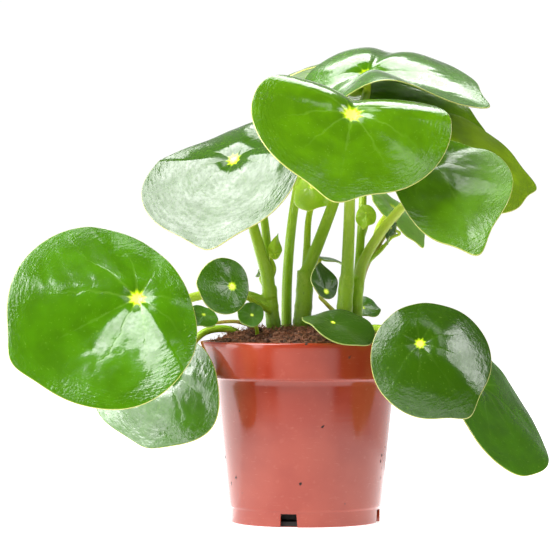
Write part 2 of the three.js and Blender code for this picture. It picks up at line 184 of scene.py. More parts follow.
def plane_waves(points: Array, longest: float, shortest: float, count: int, seed: int) -> Array:
    """An uneven field: the sum of sine waves of random direction, length and phase.

    Args:
        points: where the field is wanted, in millimetres.
        longest: the longest wave.
        shortest: the shortest wave.
        count: how many waves are added.
        seed: start of the random draws.
    Returns:
        One value for each point, mostly between -1 and 1.
    """
    draw = np.random.default_rng(seed)
    length = np.exp(draw.uniform(np.log(shortest), np.log(longest), count))
    direction = unit(draw.normal(size=(count, points.shape[-1])))
    height = np.sqrt(length / longest)
    phase = draw.uniform(0, TAU, count)
    waves = np.sin(points @ (direction * (TAU / length)[:, None]).T + phase) * height
    return waves.sum(-1) / np.sqrt((height**2).sum())


def way_along(path: Array) -> Array:
    """The length of a path from its first point to each of its points."""
    return np.concatenate(([0], np.cumsum(np.linalg.norm(np.diff(path, axis=0), axis=1))))


def smooth_path(points: Sequence[Point], count: int, fine: int = 60) -> Array:
    """A centripetal Catmull-Rom curve through the points, sampled at even steps of its length.

    Args:
        points: the points that the curve passes through.
        count: how many samples are wanted.
        fine: points of the curve that are worked out first, for each point given.
    Returns:
        The samples, in order.
    """
    given = np.array(points, float)
    if len(given) == 2:
        share = np.linspace(0, 1, count)[:, None]
        return given[0] * (1 - share) + given[1] * share
    every = np.concatenate((2 * given[:1] - given[1:2], given, 2 * given[-1:] - given[-2:-1]))
    knots = np.concatenate(([0], np.cumsum(np.sqrt(np.linalg.norm(np.diff(every, axis=0), axis=1)))))
    time = np.linspace(knots[1], knots[-2], fine * len(given))
    span = np.clip(np.searchsorted(knots, time, side="right") - 1, 1, len(given) - 1)
    around = [span + shift for shift in (-1, 0, 1, 2)]
    rows = [every[index] for index in around]
    when = [knots[index] for index in around]

    def between(left: Array, right: Array, start: Array, end: Array) -> Array:
        """The point at time on the straight line from left at start to right at end."""
        share = ((time - start) / (end - start))[:, None]
        return left * (1 - share) + right * share

    level = [between(rows[i], rows[i + 1], when[i], when[i + 1]) for i in range(3)]
    level = [between(level[i], level[i + 1], when[i], when[i + 2]) for i in range(2)]
    dense = between(level[0], level[1], when[1], when[2])
    length = way_along(dense)
    even = np.linspace(0, length[-1], count)
    return np.stack([np.interp(even, length, dense[:, axis]) for axis in range(3)], -1)


def tube_frames(path: Array, straight: float = 1e-3) -> tuple[Array, Array, Array]:
    """Directions along and across a path.

    The second direction lies in the plane that the path lies nearest to, or for a straight path in
    one that holds it, so it never turns over.

    Args:
        path: the points of the path.
        straight: the ratio of its spreads below which a path counts as straight.
    Returns:
        The unit tangent and the two unit directions across it, at each point.
    """
    tangent = unit(np.gradient(path, axis=0))
    _, spread, axes = np.linalg.svd(path - path.mean(0))
    flat = axes[2] if spread[1] > straight * spread[0] else np.cross(tangent[0], (0.0, 1.0, 0.1))
    side = unit(np.cross(tangent, flat))
    return tangent, side, np.cross(tangent, side)


def tube_rings(path: Array, radius: Array, sides: int) -> Array:
    """Rings of points round a path: radius x (side x cosine + other side x sine) of each angle.

    Args:
        path: the middle of the tube.
        radius: its radius at each point of the path.
        sides: how many points each ring has.
    Returns:
        The points, as rows of rings.
    """
    _, side, other = tube_frames(path)
    angle = even_turn(sides)[None, :, None]
    spoke = side[:, None] * np.cos(angle) + other[:, None] * np.sin(angle)
    return path[:, None] + radius[:, None, None] * spoke


def make_mesh(
    name: str, points: Array, faces: Sequence[Array], values: dict[str, Array] | None = None
) -> Piece:
    """Puts points and faces into a new object at the origin.

    Args:
        name: the object's name.
        points: the points, in millimetres.
        faces: groups of faces, each group with one number of corners.
        values: what the material reads, as one number or one vector for each point.
    Returns:
        The new object, shaded smooth.
    """
    mesh = bpy.data.meshes.new(name)
    corners = np.concatenate([group.reshape(-1) for group in faces]).astype(np.int32)
    sizes = np.concatenate([np.full(len(group), group.shape[1]) for group in faces]).astype(np.int32)
    mesh.vertices.add(len(points))
    mesh.vertices.foreach_set("co", (points * MM).astype(np.float32).ravel())
    mesh.loops.add(len(corners))
    mesh.loops.foreach_set("vertex_index", corners)
    mesh.polygons.add(len(sizes))
    mesh.polygons.foreach_set("loop_start", np.concatenate(([0], np.cumsum(sizes)[:-1])).astype(np.int32))
    mesh.polygons.foreach_set("loop_total", sizes)
    mesh.update(calc_edges=True)
    mesh.validate()
    mesh.shade_smooth()
    for key, value in (values or {}).items():
        add_value(mesh, key, value)
    piece = bpy.data.objects.new(name, mesh)
    bpy.context.scene.collection.objects.link(piece)
    return piece


def add_value(mesh: bpy.types.Mesh, key: str, value: Array) -> None:
    """Stores one number or one vector for each point under a name.

    Args:
        mesh: the mesh that carries it.
        key: the name that the material reads.
        value: the numbers, or the vectors as rows of three.
    """
    kind, slot = ("FLOAT_VECTOR", "vector") if value.ndim == 2 else ("FLOAT", "value")
    mesh.attributes.new(key, kind, "POINT").data.foreach_set(slot, value.astype(np.float32).ravel())


def apply_modifiers(piece: Piece) -> None:
    """Gives a piece the mesh that its modifiers make, and takes the modifiers off.

    Args:
        piece: the piece with its modifiers.
    """
    bpy.context.view_layer.update()
    result = piece.evaluated_get(bpy.context.evaluated_depsgraph_get())
    mesh = bpy.data.meshes.new_from_object(result)
    piece.modifiers.clear()
    piece.data = mesh


def points_of(mesh: bpy.types.Mesh) -> Array:
    """The points of a mesh.

    Args:
        mesh: the mesh.
    Returns:
        Its points in millimetres, in rows of three.
    """
    flat = np.zeros(3 * len(mesh.vertices), np.float32)
    mesh.vertices.foreach_get("co", flat)
    return flat.reshape(-1, 3) / MM


# ------------------------------------------------------------------------------ node trees


class Tree:
    """Adds nodes to one tree, gives them their values and joins them."""

    def __init__(self, tree: bpy.types.NodeTree) -> None:
        """Starts on an empty tree."""
        self.tree = tree
        tree.nodes.clear()

    def feed(self, socket: Socket, value: Value) -> None:
        """Joins a socket to another, or sets its value.

        Args:
            socket: the input.
            value: an output to join, a number, a vector or a colour, or None to leave it alone.
        """
        if isinstance(value, bpy.types.NodeSocket):
            self.tree.links.new(value, socket)
        elif value is not None:
            size = len(socket.default_value) if hasattr(socket.default_value, "__len__") else 0
            socket.default_value = (*value, 1.0) if size == 4 and len(value) == 3 else value

    def add(self, kind: str, *values: Value, **named: Value) -> Node:
        """Adds a node.

        Args:
            kind: the node's type, without its ShaderNode prefix.
            values: values for its inputs, in order.
            named: properties of the node, or inputs with spaces written as underscores.
        Returns:
            The node.
        """
        node = self.tree.nodes.new("ShaderNode" + kind)
        for key, value in named.items():
            if key in node.bl_rna.properties:
                setattr(node, key, value)
        for socket, value in zip(node.inputs, values):
            self.feed(socket, value)
        for key, value in named.items():
            if key not in node.bl_rna.properties:
                self.feed(node.inputs[key.replace("_", " ")], value)
        return node

    def group(self, name: str, **values: Value) -> Node:
        """Places a shared group.

        Args:
            name: the group's name.
            values: what its inputs get here.
        Returns:
            The group's node.
        """
        node = self.tree.nodes.new("ShaderNodeGroup")
        node.node_tree = bpy.data.node_groups[name]
        for key, value in values.items():
            self.feed(node.inputs[key], value)
        return node

    def number(self, name: str) -> Socket:
        """The number that the mesh stores under a name."""
        return self.add("Attribute", attribute_name=name).outputs["Fac"]

    def vector(self, name: str) -> Socket:
        """The vector that the mesh stores under a name."""
        return self.add("Attribute", attribute_name=name).outputs["Vector"]

    def place(self) -> Socket:
        """The place on the object, in metres."""
        return self.add("TexCoord").outputs["Object"]

    def parts(self, vector: Value) -> Sequence[Socket]:
        """The three numbers of a vector."""
        return self.add("SeparateXYZ", vector).outputs

    def joined(self, *numbers: Value) -> Socket:
        """The vector of three numbers."""
        return self.add("CombineXYZ", *numbers).outputs[0]

    def math(self, operation: str, *values: Value) -> Socket:
        """The result of a Math node."""
        return self.add("Math", *values, operation=operation).outputs[0]

    def times(self, first: Value, second: Value, extra: Value = None) -> Socket:
        """The product of two values, with a third added to it where one is given."""
        return self.math("MULTIPLY" if extra is None else "MULTIPLY_ADD", first, second, extra)

    def plus(self, first: Value, second: Value) -> Socket:
        """The sum of two values."""
        return self.math("ADD", first, second)

    def larger(self, first: Value, second: Value) -> Socket:
        """The larger of two values."""
        return self.math("MAXIMUM", first, second)

    def distance(self, x: Value, y: Value) -> Socket:
        """The distance from the axis: the root of x squared + y squared."""
        return self.math("SQRT", self.plus(self.times(x, x), self.times(y, y)))

    def noise(self, vector: Value, scale: Value, detail: float = 2.0, roughness: float = 0.5) -> Socket:
        """A noise value between 0 and 1 at a vector."""
        return self.add("TexNoise", Vector=vector, Scale=scale, Detail=detail, Roughness=roughness).outputs[0]

    def span(self, value: Value, low: float, high: float, start: float = 0.0, end: float = 1.0) -> Socket:
        """A value carried smoothly from low..high to start..end and held at its ends."""
        return self.add("MapRange", value, low, high, start, end, interpolation_type="SMOOTHSTEP").outputs[0]

    def mix(self, share: Value, first: Value, second: Value, blend: str = "MIX") -> Socket:
        """Two colours mixed.

        Args:
            share: the share of the second colour.
            first: the first colour.
            second: the second colour.
            blend: the way that they are mixed.
        Returns:
            The mixed colour.
        """
        node = self.add("Mix", data_type="RGBA", blend_type=blend)
        for number, value in ((0, share), (6, first), (7, second)):
            self.feed(node.inputs[number], value)
        return node.outputs[2]

    def bump(self, height: Value, distance: float, strength: float = 1.0) -> Socket:
        """The normal that a relief gives, for a height of 1 that stands up by a distance in metres."""
        return self.add("Bump", Strength=strength, Distance=distance, Height=height).outputs[0]


def new_group(name: str, inputs: dict[str, str], outputs: dict[str, str]) -> tuple[Tree, Node, Node]:
    """Starts a shader node group.

    Args:
        name: the group's name.
        inputs: socket names and their kinds, such as Float, Vector or Color.
        outputs: the same for what it puts out.
    Returns:
        Its tree, its input node and its output node.
    """
    nodes = bpy.data.node_groups.new(name, "ShaderNodeTree")
    for side, sockets in (("INPUT", inputs), ("OUTPUT", outputs)):
        for label, kind in sockets.items():
            nodes.interface.new_socket(name=label, in_out=side, socket_type="NodeSocket" + kind)
    tree = Tree(nodes)
    return tree, nodes.nodes.new("NodeGroupInput"), nodes.nodes.new("NodeGroupOutput")


def build_nerves() -> None:
    """The leaf pattern: main nerves fanning out from the stalk, the spot over it, and the edge.

    Plane holds the millimetres ahead of the stalk, beside it, and in from the edge. A nerve lies
    wherever the angle from the tip, times 1 + bend x distance, is a multiple of the spacing. How far
    a point is off the nerve is what is left over of that angle, times the distance from the stalk.
    The spot reaches further along the nerves, and both it and the nerves wander a little.
    """
    wander, arms, ragged = 0.3, 0.3, 0.5
    line, fading, rim, blot = (0.15, 1.0), (0.1, 0.95), (0.1, 0.45), (0.35, 1.15)
    tree, given, out = new_group(
        "Nerves",
        {"Plane": "Vector", "Spacing": "Float", "Width": "Float", "Spot": "Float"},
        {"Nerve": "Float", "Spot": "Float", "Edge": "Float"},
    )
    plane = given.outputs["Plane"]
    ahead, beside, inset = tree.parts(plane)
    distance = tree.distance(ahead, beside)
    angle = tree.math("ABSOLUTE", tree.math("ARCTAN2", beside, ahead))
    wobble = tree.times(tree.noise(plane, 0.09), wander, -wander / 2)
    bent = tree.plus(tree.times(angle, tree.times(distance, NERVE_BEND, 1.0)), wobble)
    left_over = tree.math("PINGPONG", bent, tree.times(given.outputs["Spacing"], 0.5))
    off = tree.math("DIVIDE", tree.times(left_over, distance), given.outputs["Width"])
    reach = tree.math("DIVIDE", distance, tree.plus(distance, inset))
    nerve = tree.times(tree.span(off, *line, 1.0, 0.0), tree.span(reach, *fading, 1.0, 0.0))
    arm = tree.times(nerve, arms, 1.0)
    size = tree.math("DIVIDE", distance, tree.times(given.outputs["Spot"], arm))
    frayed = tree.times(tree.noise(plane, 0.5), ragged, tree.plus(size, -ragged / 2))
    tree.feed(out.inputs["Nerve"], nerve)
    tree.feed(out.inputs["Spot"], tree.span(frayed, *blot, 1.0, 0.0))
    tree.feed(out.inputs["Edge"], tree.span(inset, *rim, 1.0, 0.0))


def build_wrinkles() -> None:
    """Height of the fine wrinkles of a fleshy skin, from 0 to 1.

    One noise is read at the cosine and sine of the angle about the stalk and at the distance from it,
    so its wrinkles run round the stalk; the other is even in all directions.
    """
    ring_share, dent_share, dent_pitch = 0.55, 0.45, 0.8
    tree, given, out = new_group(
        "Wrinkles", {"Plane": "Vector", "Pitch": "Float", "Across": "Float"}, {"Height": "Float"}
    )
    across, pitch = given.outputs["Across"], given.outputs["Pitch"]
    ahead, beside, _ = tree.parts(given.outputs["Plane"])
    angle = tree.math("ARCTAN2", beside, ahead)
    round_about = tree.joined(
        tree.times(tree.math("COSINE", angle), across),
        tree.times(tree.math("SINE", angle), across),
        tree.math("DIVIDE", tree.distance(ahead, beside), pitch),
    )
    flat = tree.joined(ahead, beside, 0.0)
    closer = tree.math("DIVIDE", dent_pitch, pitch)
    even = tree.add("VectorMath", flat, operation="SCALE", Scale=closer).outputs[0]
    rings = tree.noise(round_about, 1.0, 2.0, 0.55)
    dents = tree.noise(even, 1.0, 3.0, 0.6)
    tree.feed(out.inputs["Height"], tree.times(rings, ring_share, tree.times(dents, dent_share)))


def build_mottle() -> None:
    """Two colours mixed by soft blotches, with a third in flecks a ninth as large."""
    finer, soft, sharp = 9.0, (0.32, 0.68), (0.66, 0.74)
    tree, given, out = new_group(
        "Mottle",
        {
            "Vector": "Vector", "Scale": "Float", "First": "Color", "Second": "Color",
            "Fleck": "Color", "Flecks": "Float",
        },
        {"Color": "Color"},
    )
    place, scale = given.outputs["Vector"], given.outputs["Scale"]
    mask = tree.span(tree.noise(place, scale, 3.0), *soft)
    fleck = tree.noise(place, tree.times(scale, finer), 1.0)
    spots = tree.times(tree.span(fleck, *sharp), given.outputs["Flecks"])
    base = tree.mix(mask, given.outputs["First"], given.outputs["Second"])
    tree.feed(out.inputs["Color"], tree.mix(spots, base, given.outputs["Fleck"]))


def build_specks() -> None:
    """Scattered crumbs of dirt: a share of the cells of a Voronoi pattern.

    The pattern is read at a place that a finer noise pushes about, so the crumbs are ragged.
    """
    finer, push = 3.0, 0.9
    tree, given, out = new_group(
        "Specks",
        {"Vector": "Vector", "Scale": "Float", "Size": "Float", "Amount": "Float"},
        {"Mask": "Float"},
    )
    place, scale = given.outputs["Vector"], given.outputs["Scale"]
    rough = tree.add("TexNoise", Vector=place, Scale=tree.times(scale, finer)).outputs[1]
    pushed = tree.add("VectorMath", rough, (0.5, 0.5, 0.5), operation="SUBTRACT").outputs[0]
    nudge = tree.math("DIVIDE", push, scale)
    moved = tree.add("VectorMath", pushed, operation="SCALE", Scale=nudge).outputs[0]
    where = tree.add("VectorMath", place, moved, operation="ADD").outputs[0]
    cell = tree.add("TexVoronoi", Vector=where, Scale=scale)
    dot = tree.math("LESS_THAN", cell.outputs["Distance"], given.outputs["Size"])
    pick = tree.add("SeparateColor", cell.outputs["Color"]).outputs[0]
    kept = tree.math("LESS_THAN", pick, given.outputs["Amount"])
    tree.feed(out.inputs["Mask"], tree.times(dot, kept))


# ------------------------------------------------------------------------------ finishes


def new_material(name: str) -> tuple[Material, Tree]:
    """Starts a node material.

    Args:
        name: the material's name.
    Returns:
        The material and its empty tree.
    """
    material = bpy.data.materials.new(name)
    material.use_nodes = True
    return material, Tree(material.node_tree)


def close_material(tree: Tree, **values: Value) -> None:
    """Adds the Principled shader with its values and joins it to the output.

    Args:
        tree: the material's tree.
        values: Principled inputs, with spaces written as underscores.
    """
    shader = tree.add("BsdfPrincipled", **values)
    tree.add("OutputMaterial", shader.outputs[0])


@dataclass(frozen=True)
class LeafFinish:
    """The skin of a leaf: waxy, finely wrinkled, with pale nerves and a yellow spot over the stalk.

    Deep, middle and bright are the greens at tones of 0, 0.5 and 1. The ramps are named for what
    they change: by_inset reads the millimetres in from the edge, by_fold the height of the wrinkles,
    by_patch a coarse noise, by_size the spot's radius, by_face 0 below and 1 above.
    """

    name: str
    deep: Colour
    middle: Colour
    bright: Colour
    spot: Colour = (0.62, 0.86, 0.01)
    heart: Colour = (0.85, 0.9, 0.12)
    nerve: Colour = (0.30, 0.50, 0.08)
    edge: Colour = (0.62, 0.58, 0.16)
    under: Colour = (0.15, 0.29, 0.05)
    roughness: float = 0.17
    wrinkle: float = 0.00034
    flesh: float = 0.12
    nerve_width: float = 1.1
    nerve_dip: float = -0.12
    nerve_share_by_tone: Ramp = (0.0, 0.6, 0.02, 0.1)
    nerve_share_below: float = 0.5
    blotch_scale: float = 0.06
    blotch_share: float = 0.35
    flecks: float = 0.1
    heart_share: tuple[float, float] = (0.75, 1.0)
    edge_by_size: Ramp = (1.0, 3.5, 0.25, 0.75)
    fold_pitch: float = 1.6
    folds_round: float = 7.0
    fold_by_inset: Ramp = (1.0, 17.0, 1.5, 0.25)
    fold_roughness: float = 0.06
    patch: Grain = (0.07, 3.0, 0.5)
    wax_by_patch: Ramp = (0.3, 0.7, 0.3, 0.8)
    wax_by_fold: Ramp = (0.35, 0.62, 0.45, 1.35)
    wax_by_size: Ramp = (1.2, 3.5, 0.25, 1.0)
    dull_by_face: Ramp = (0.0, 1.0, 0.25, -0.02)
    dull_by_size: Ramp = (1.2, 3.5, 0.16, 0.0)

    def colour(self, tree: Tree, plane: Socket, nerves: Node) -> Socket:
        """The green of its tone with blotches, then nerves, the underside, the spot and the edge line.

        Args:
            tree: the material's tree.
            plane: the leaf's own plane.
            nerves: the placed nerve pattern.
        Returns:
            The colour.
        """
        tone, face, size = tree.number("tone"), tree.number("face"), tree.number("spot")
        low = tree.mix(tree.span(tone, 0.0, 0.5), self.deep, self.middle)
        hue = tree.mix(tree.span(tone, 0.5, 1.0), low, self.bright)
        darker = tree.mix(self.blotch_share, hue, self.deep)
        skin = tree.group(
            "Mottle", Vector=plane, Scale=self.blotch_scale, First=hue, Second=darker,
            Fleck=self.nerve, Flecks=self.flecks,
        ).outputs["Color"]
        share = tree.times(tree.span(tone, *self.nerve_share_by_tone), nerves.outputs["Nerve"])
        above = tree.mix(share, skin, self.nerve)
        below = tree.mix(tree.times(nerves.outputs["Nerve"], self.nerve_share_below), self.under, self.nerve)
        sided = tree.mix(face, below, above)
        spot = tree.mix(tree.span(nerves.outputs["Spot"], *self.heart_share), self.spot, self.heart)
        spotted = tree.mix(tree.times(nerves.outputs["Spot"], face), sided, spot)
        line = tree.times(nerves.outputs["Edge"], tree.span(size, *self.edge_by_size))
        return tree.mix(line, spotted, self.edge)

    def make(self) -> Material:
        """Builds the material.

        Returns:
            The material.
        """
        material, tree = new_material(self.name)
        plane, face, size = tree.vector("plane"), tree.number("face"), tree.number("spot")
        nerves = tree.group("Nerves", Plane=plane, Spacing=NERVE_SPACING, Width=self.nerve_width, Spot=size)
        wrinkles = tree.group("Wrinkles", Plane=plane, Pitch=self.fold_pitch, Across=self.folds_round)
        folds = wrinkles.outputs["Height"]
        hills = tree.times(folds, tree.span(tree.parts(plane)[2], *self.fold_by_inset))
        bloom = tree.span(tree.noise(plane, *self.patch), *self.wax_by_patch)
        grown = tree.times(bloom, tree.span(size, *self.wax_by_size))
        wax = tree.times(tree.span(folds, *self.wax_by_fold), grown)
        dull = tree.plus(tree.span(face, *self.dull_by_face), tree.span(size, *self.dull_by_size))
        rough = tree.times(hills, self.fold_roughness, tree.plus(dull, self.roughness))
        normal = tree.bump(tree.times(nerves.outputs["Nerve"], self.nerve_dip, hills), self.wrinkle)
        close_material(
            tree, Base_Color=self.colour(tree, plane, nerves), Roughness=rough, Normal=normal, IOR=1.5,
            Specular_IOR_Level=0.3, Coat_Weight=wax, Coat_Roughness=0.06, Coat_Normal=normal,
            Subsurface_Weight=self.flesh, Subsurface_Radius=(0.6, 1.0, 0.15), Subsurface_Scale=0.0012,
        )
        return material


@dataclass(frozen=True)
class StemFinish:
    """Fleshy green stems: darker at the root, yellower towards the leaves, with long pale streaks.

    Ripe goes from 0 at the soil to 1 at the leaf. A ramp or span named by_ripe reads it, and one
    named by_streak reads the streaks.
    """

    name: str = "fleshy_stem"
    root: Colour = (0.022, 0.07, 0.004)
    middle: Colour = (0.24, 0.41, 0.014)
    top: Colour = (0.52, 0.66, 0.03)
    streak: Colour = (0.55, 0.66, 0.10)
    blush: Colour = (0.42, 0.16, 0.07)
    middle_by_ripe: tuple[float, float] = (0.0, 0.35)
    top_by_ripe: tuple[float, float] = (0.3, 1.0)
    streak_grain: Grain = (2.6, 3.0, 0.6)
    streak_span: tuple[float, float] = (0.42, 0.66)
    streak_by_ripe: Ramp = (0.0, 0.5, 0.12, 0.42)
    blush_by_streak: Ramp = (0.0, 1.0, 0.8, 0.25)
    rough_by_streak: Ramp = (0.0, 1.0, 0.34, 0.46)
    blotch_scale: float = 1.3
    flecks: float = 0.5
    skin_grain: Grain = (9.0, 2.0, 0.5)
    streak_rise: float = 0.6

    def make(self) -> Material:
        """Builds the material.

        Returns:
            The material.
        """
        material, tree = new_material(self.name)
        fibre, ripe, flush = tree.vector("fibre"), tree.number("ripe"), tree.number("blush")
        low = tree.mix(tree.span(ripe, *self.middle_by_ripe), self.root, self.middle)
        green = tree.mix(tree.span(ripe, *self.top_by_ripe), low, self.top)
        streaks = tree.span(tree.noise(fibre, *self.streak_grain), *self.streak_span)
        striped = tree.mix(tree.times(streaks, tree.span(ripe, *self.streak_by_ripe)), green, self.streak)
        skin = tree.group(
            "Mottle", Vector=fibre, Scale=self.blotch_scale, First=striped, Second=green,
            Fleck=self.root, Flecks=self.flecks,
        ).outputs["Color"]
        colour = tree.mix(tree.times(flush, tree.span(streaks, *self.blush_by_streak)), skin, self.blush)
        hills = tree.times(streaks, self.streak_rise, tree.noise(fibre, *self.skin_grain))
        close_material(
            tree, Base_Color=colour, Roughness=tree.span(streaks, *self.rough_by_streak),
            Normal=tree.bump(hills, 0.0002, 0.6), IOR=1.42, Specular_IOR_Level=0.35, Coat_Weight=0.1,
            Coat_Roughness=0.2, Subsurface_Weight=0.15, Subsurface_Radius=(0.8, 1.0, 0.2),
            Subsurface_Scale=0.0015,
        )
        return material


@dataclass(frozen=True)
class PotFinish:
    """Moulded plastic, terracotta coloured, with faint flow rings, fine scuffs and crumbs of soil.

    Soiled is the place on the wall with the most crumbs. Faces that lie nearer the pot's axis than
    inside, and higher than raised, are painted nearly black: a painted shade for the inside of the
    foot, seen through the drain slots, and for the recess under the floor.
    """

    name: str = "terracotta_plastic"
    body: Colour = (0.245, 0.024, 0.008)
    faded: Colour = (0.28, 0.036, 0.015)
    pale: Colour = (0.66, 0.28, 0.2)
    dirt: Colour = (0.012, 0.009, 0.008)
    # the colour of the crumbs of soil, and also of the painted shade inside the foot
    soiled: Point = (0.0425, -0.019, 0.03)
    dirt_by_distance: Ramp = (0.004, 0.018, 0.3, 0.012)
    crumb_scale: float = 330.0
    crumb_size: float = 0.3
    # where the painted shade falls: nearer the axis than inside, and higher than raised
    inside: Ramp = (0.0405, 0.0415, 1.0, 0.0)
    raised: tuple[float, float] = (0.0002, 0.0006)
    blotch_scale: float = 38.0
    flecks: float = 0.04
    ring_grain: Grain = (620.0, 2.0, 0.6)
    scuff_stretch: Point = (1.0, 1.0, 9.0)
    scuff_grain: Grain = (160.0, 3.0, 0.7)
    scuff_span: tuple[float, float] = (0.62, 0.8)
    scuff_share: float = 0.3
    scuff_roughness: float = 0.1
    roughness: float = 0.14
    fine_grain: Grain = (1500.0, 2.0, 0.5)
    ring_rise: float = 0.5
    grain_rise: float = 0.18
    crumb_rise: float = 2.0

    def make(self) -> Material:
        """Builds the material.

        Returns:
            The material.
        """
        material, tree = new_material(self.name)
        place = tree.place()
        beside, back, height = tree.parts(place)
        skin = tree.group(
            "Mottle", Vector=place, Scale=self.blotch_scale, First=self.body, Second=self.faded,
            Fleck=self.pale, Flecks=self.flecks,
        ).outputs["Color"]
        long = tree.add("Mapping", place, Scale=self.scuff_stretch).outputs[0]
        scuffs = tree.span(tree.noise(long, *self.scuff_grain), *self.scuff_span)
        worn = tree.mix(tree.times(scuffs, self.scuff_share), skin, self.pale)
        off = tree.add("VectorMath", place, self.soiled, operation="DISTANCE").outputs["Value"]
        amount = tree.span(off, *self.dirt_by_distance)
        specks = tree.group(
            "Specks", Vector=place, Scale=self.crumb_scale, Size=self.crumb_size, Amount=amount
        ).outputs["Mask"]
        # painted shade: faces inside the foot and under the floor are painted nearly black, then joined with
        # the crumbs
        shaded_core = tree.span(tree.distance(beside, back), *self.inside)
        inside = tree.times(shaded_core, tree.span(height, *self.raised))
        soil = tree.larger(specks, inside)
        rough = tree.larger(tree.times(scuffs, self.scuff_roughness, self.roughness), soil)
        rings = tree.noise(tree.joined(0.0, 0.0, height), *self.ring_grain)
        grain = tree.times(tree.noise(place, *self.fine_grain), self.grain_rise)
        hills = tree.times(specks, self.crumb_rise, tree.times(rings, self.ring_rise, grain))
        # the dirt colour paints both the real crumbs and the painted shade inside the foot
        close_material(
            tree, Base_Color=tree.mix(soil, worn, self.dirt), Roughness=rough,
            Normal=tree.bump(hills, 0.0002, 0.25), IOR=1.5,
            Subsurface_Weight=0.06, Subsurface_Radius=(1.0, 0.35, 0.2), Subsurface_Scale=0.002,
        )
        return material


@dataclass(frozen=True)
class PeatFinish:
    """Moist peat: red-brown, crumbly and dull; low in the pot, where it shows through the drain slots, it is
    painted nearly black as painted shade.
    """

    name: str
    dark: Colour = (0.05, 0.024, 0.014)
    warm: Colour = (0.21, 0.085, 0.045)
    straw: Colour = (0.42, 0.25, 0.14)
    # painted shade: the nearly black colour of the peat low in the pot
    painted_shade_black: Colour = (0.002, 0.0015, 0.0012)
    straws: float = 0.4
    blotch_scale: float = 260.0
    crumb_grain: Grain = (1300.0, 4.0, 0.65)
    # the heights in metres over which the painted shade fades out
    shade_by_height: Ramp = (0.04, 0.08, 0.97, 0.0)

    def make(self) -> Material:
        """Builds the material.

        Returns:
            The material.
        """
        material, tree = new_material(self.name)
        place = tree.place()
        skin = tree.group(
            "Mottle", Vector=place, Scale=self.blotch_scale, First=self.dark, Second=self.warm,
            Fleck=self.straw, Flecks=self.straws,
        ).outputs["Color"]
        normal = tree.bump(tree.noise(place, *self.crumb_grain), 0.0006, 0.9)
        # painted shade: low in the pot the peat is painted nearly black
        colour = tree.mix(tree.span(tree.parts(place)[2], *self.shade_by_height), skin, self.painted_shade_black)
        close_material(tree, Base_Color=colour, Roughness=0.86, Normal=normal, IOR=1.4)
        return material


@dataclass(frozen=True)
class FloorFinish:
    """A white acrylic table, lit a little from within.

    To every ray but the camera's its base is black and its glow is a painted pattern of light: a painted
    reflection that is bright close to the pot, in front of it and behind it, brighter on the left than on
    the right. Further out it is painted dark on either side of the front, a painted shade in place of
    flags beside the camera that are not in the scene. Angles are radians from the front.
    """

    name: str = "white_table"
    white: Colour = (0.82, 0.82, 0.83)
    glow: float = 0.9
    near: float = 2.4
    front: float = 1.6
    # painted shade: the dark glow on either side of the front, in place of flags that are not in the scene
    painted_flag_shade: float = 0.05
    left: float = 3.0
    right: float = 1.3
    near_reach: tuple[float, float] = (0.26, 0.33)
    front_turn: tuple[float, float] = (0.5, 0.7)
    # where the painted shade of the missing flags gives way to the bright sides
    painted_shade_turn: tuple[float, float] = (1.35, 1.7)
    middle_turn: tuple[float, float] = (-0.2, 0.2)

    def make(self) -> Material:
        """Builds the material.

        Returns:
            The material.
        """
        material, tree = new_material(self.name)
        beside, back, _ = tree.parts(tree.place())
        turn = tree.math("ARCTAN2", beside, tree.times(back, -1.0))
        away = tree.math("ABSOLUTE", turn)
        near = tree.span(tree.distance(beside, back), *self.near_reach, self.near, 0.0)
        front = tree.larger(near, tree.span(away, *self.front_turn, self.front, 0.0))
        sides = tree.mix(tree.span(turn, *self.middle_turn), [self.left] * 3, [self.right] * 3)
        # painted shade on either side of the front, painted light to the sides and the back
        behind = tree.mix(tree.span(away, *self.painted_shade_turn), [self.painted_flag_shade] * 3, sides)
        grey = tree.add("CombineColor", front, front, front).outputs[0]
        mirrored = tree.mix(1.0, grey, behind, "LIGHTEN")
        # to the camera the table is evenly white; to every other ray it is black and glows with the painted
        # pattern
        seen = tree.add("LightPath").outputs["Is Camera Ray"]
        base = tree.mix(seen, (0.0, 0.0, 0.0), self.white)
        glow = tree.mix(seen, mirrored, [self.glow] * 3)
        close_material(tree, Base_Color=base, Roughness=0.6, Emission_Color=glow, Emission_Strength=1.0)
        return material


# ------------------------------------------------------------------------------ leaves


class Age(Enum):
    """How old a leaf is, which decides its finish."""

    FULL = "full"
    YOUNG = "young"
    PALE = "pale"


@dataclass(frozen=True)
class Growth:
    """What a leaf's size decides.

    Middle is the thickness over the stalk, cup the rise round the dimple, and relief the share of the
    fine form. Spokes and rings are the grid, and approach is the straight end of the stalk.
    """

    middle: float
    cup: float
    relief: float
    spokes: int
    rings: int
    approach: float


LARGE = Growth(middle=1.5, cup=2.5, relief=1.0, spokes=168, rings=38, approach=11)
SMALL = Growth(middle=1.1, cup=1.2, relief=0.35, spokes=72, rings=14, approach=5)
LARGE_FROM = 25  # the tip's reach above which a leaf is large


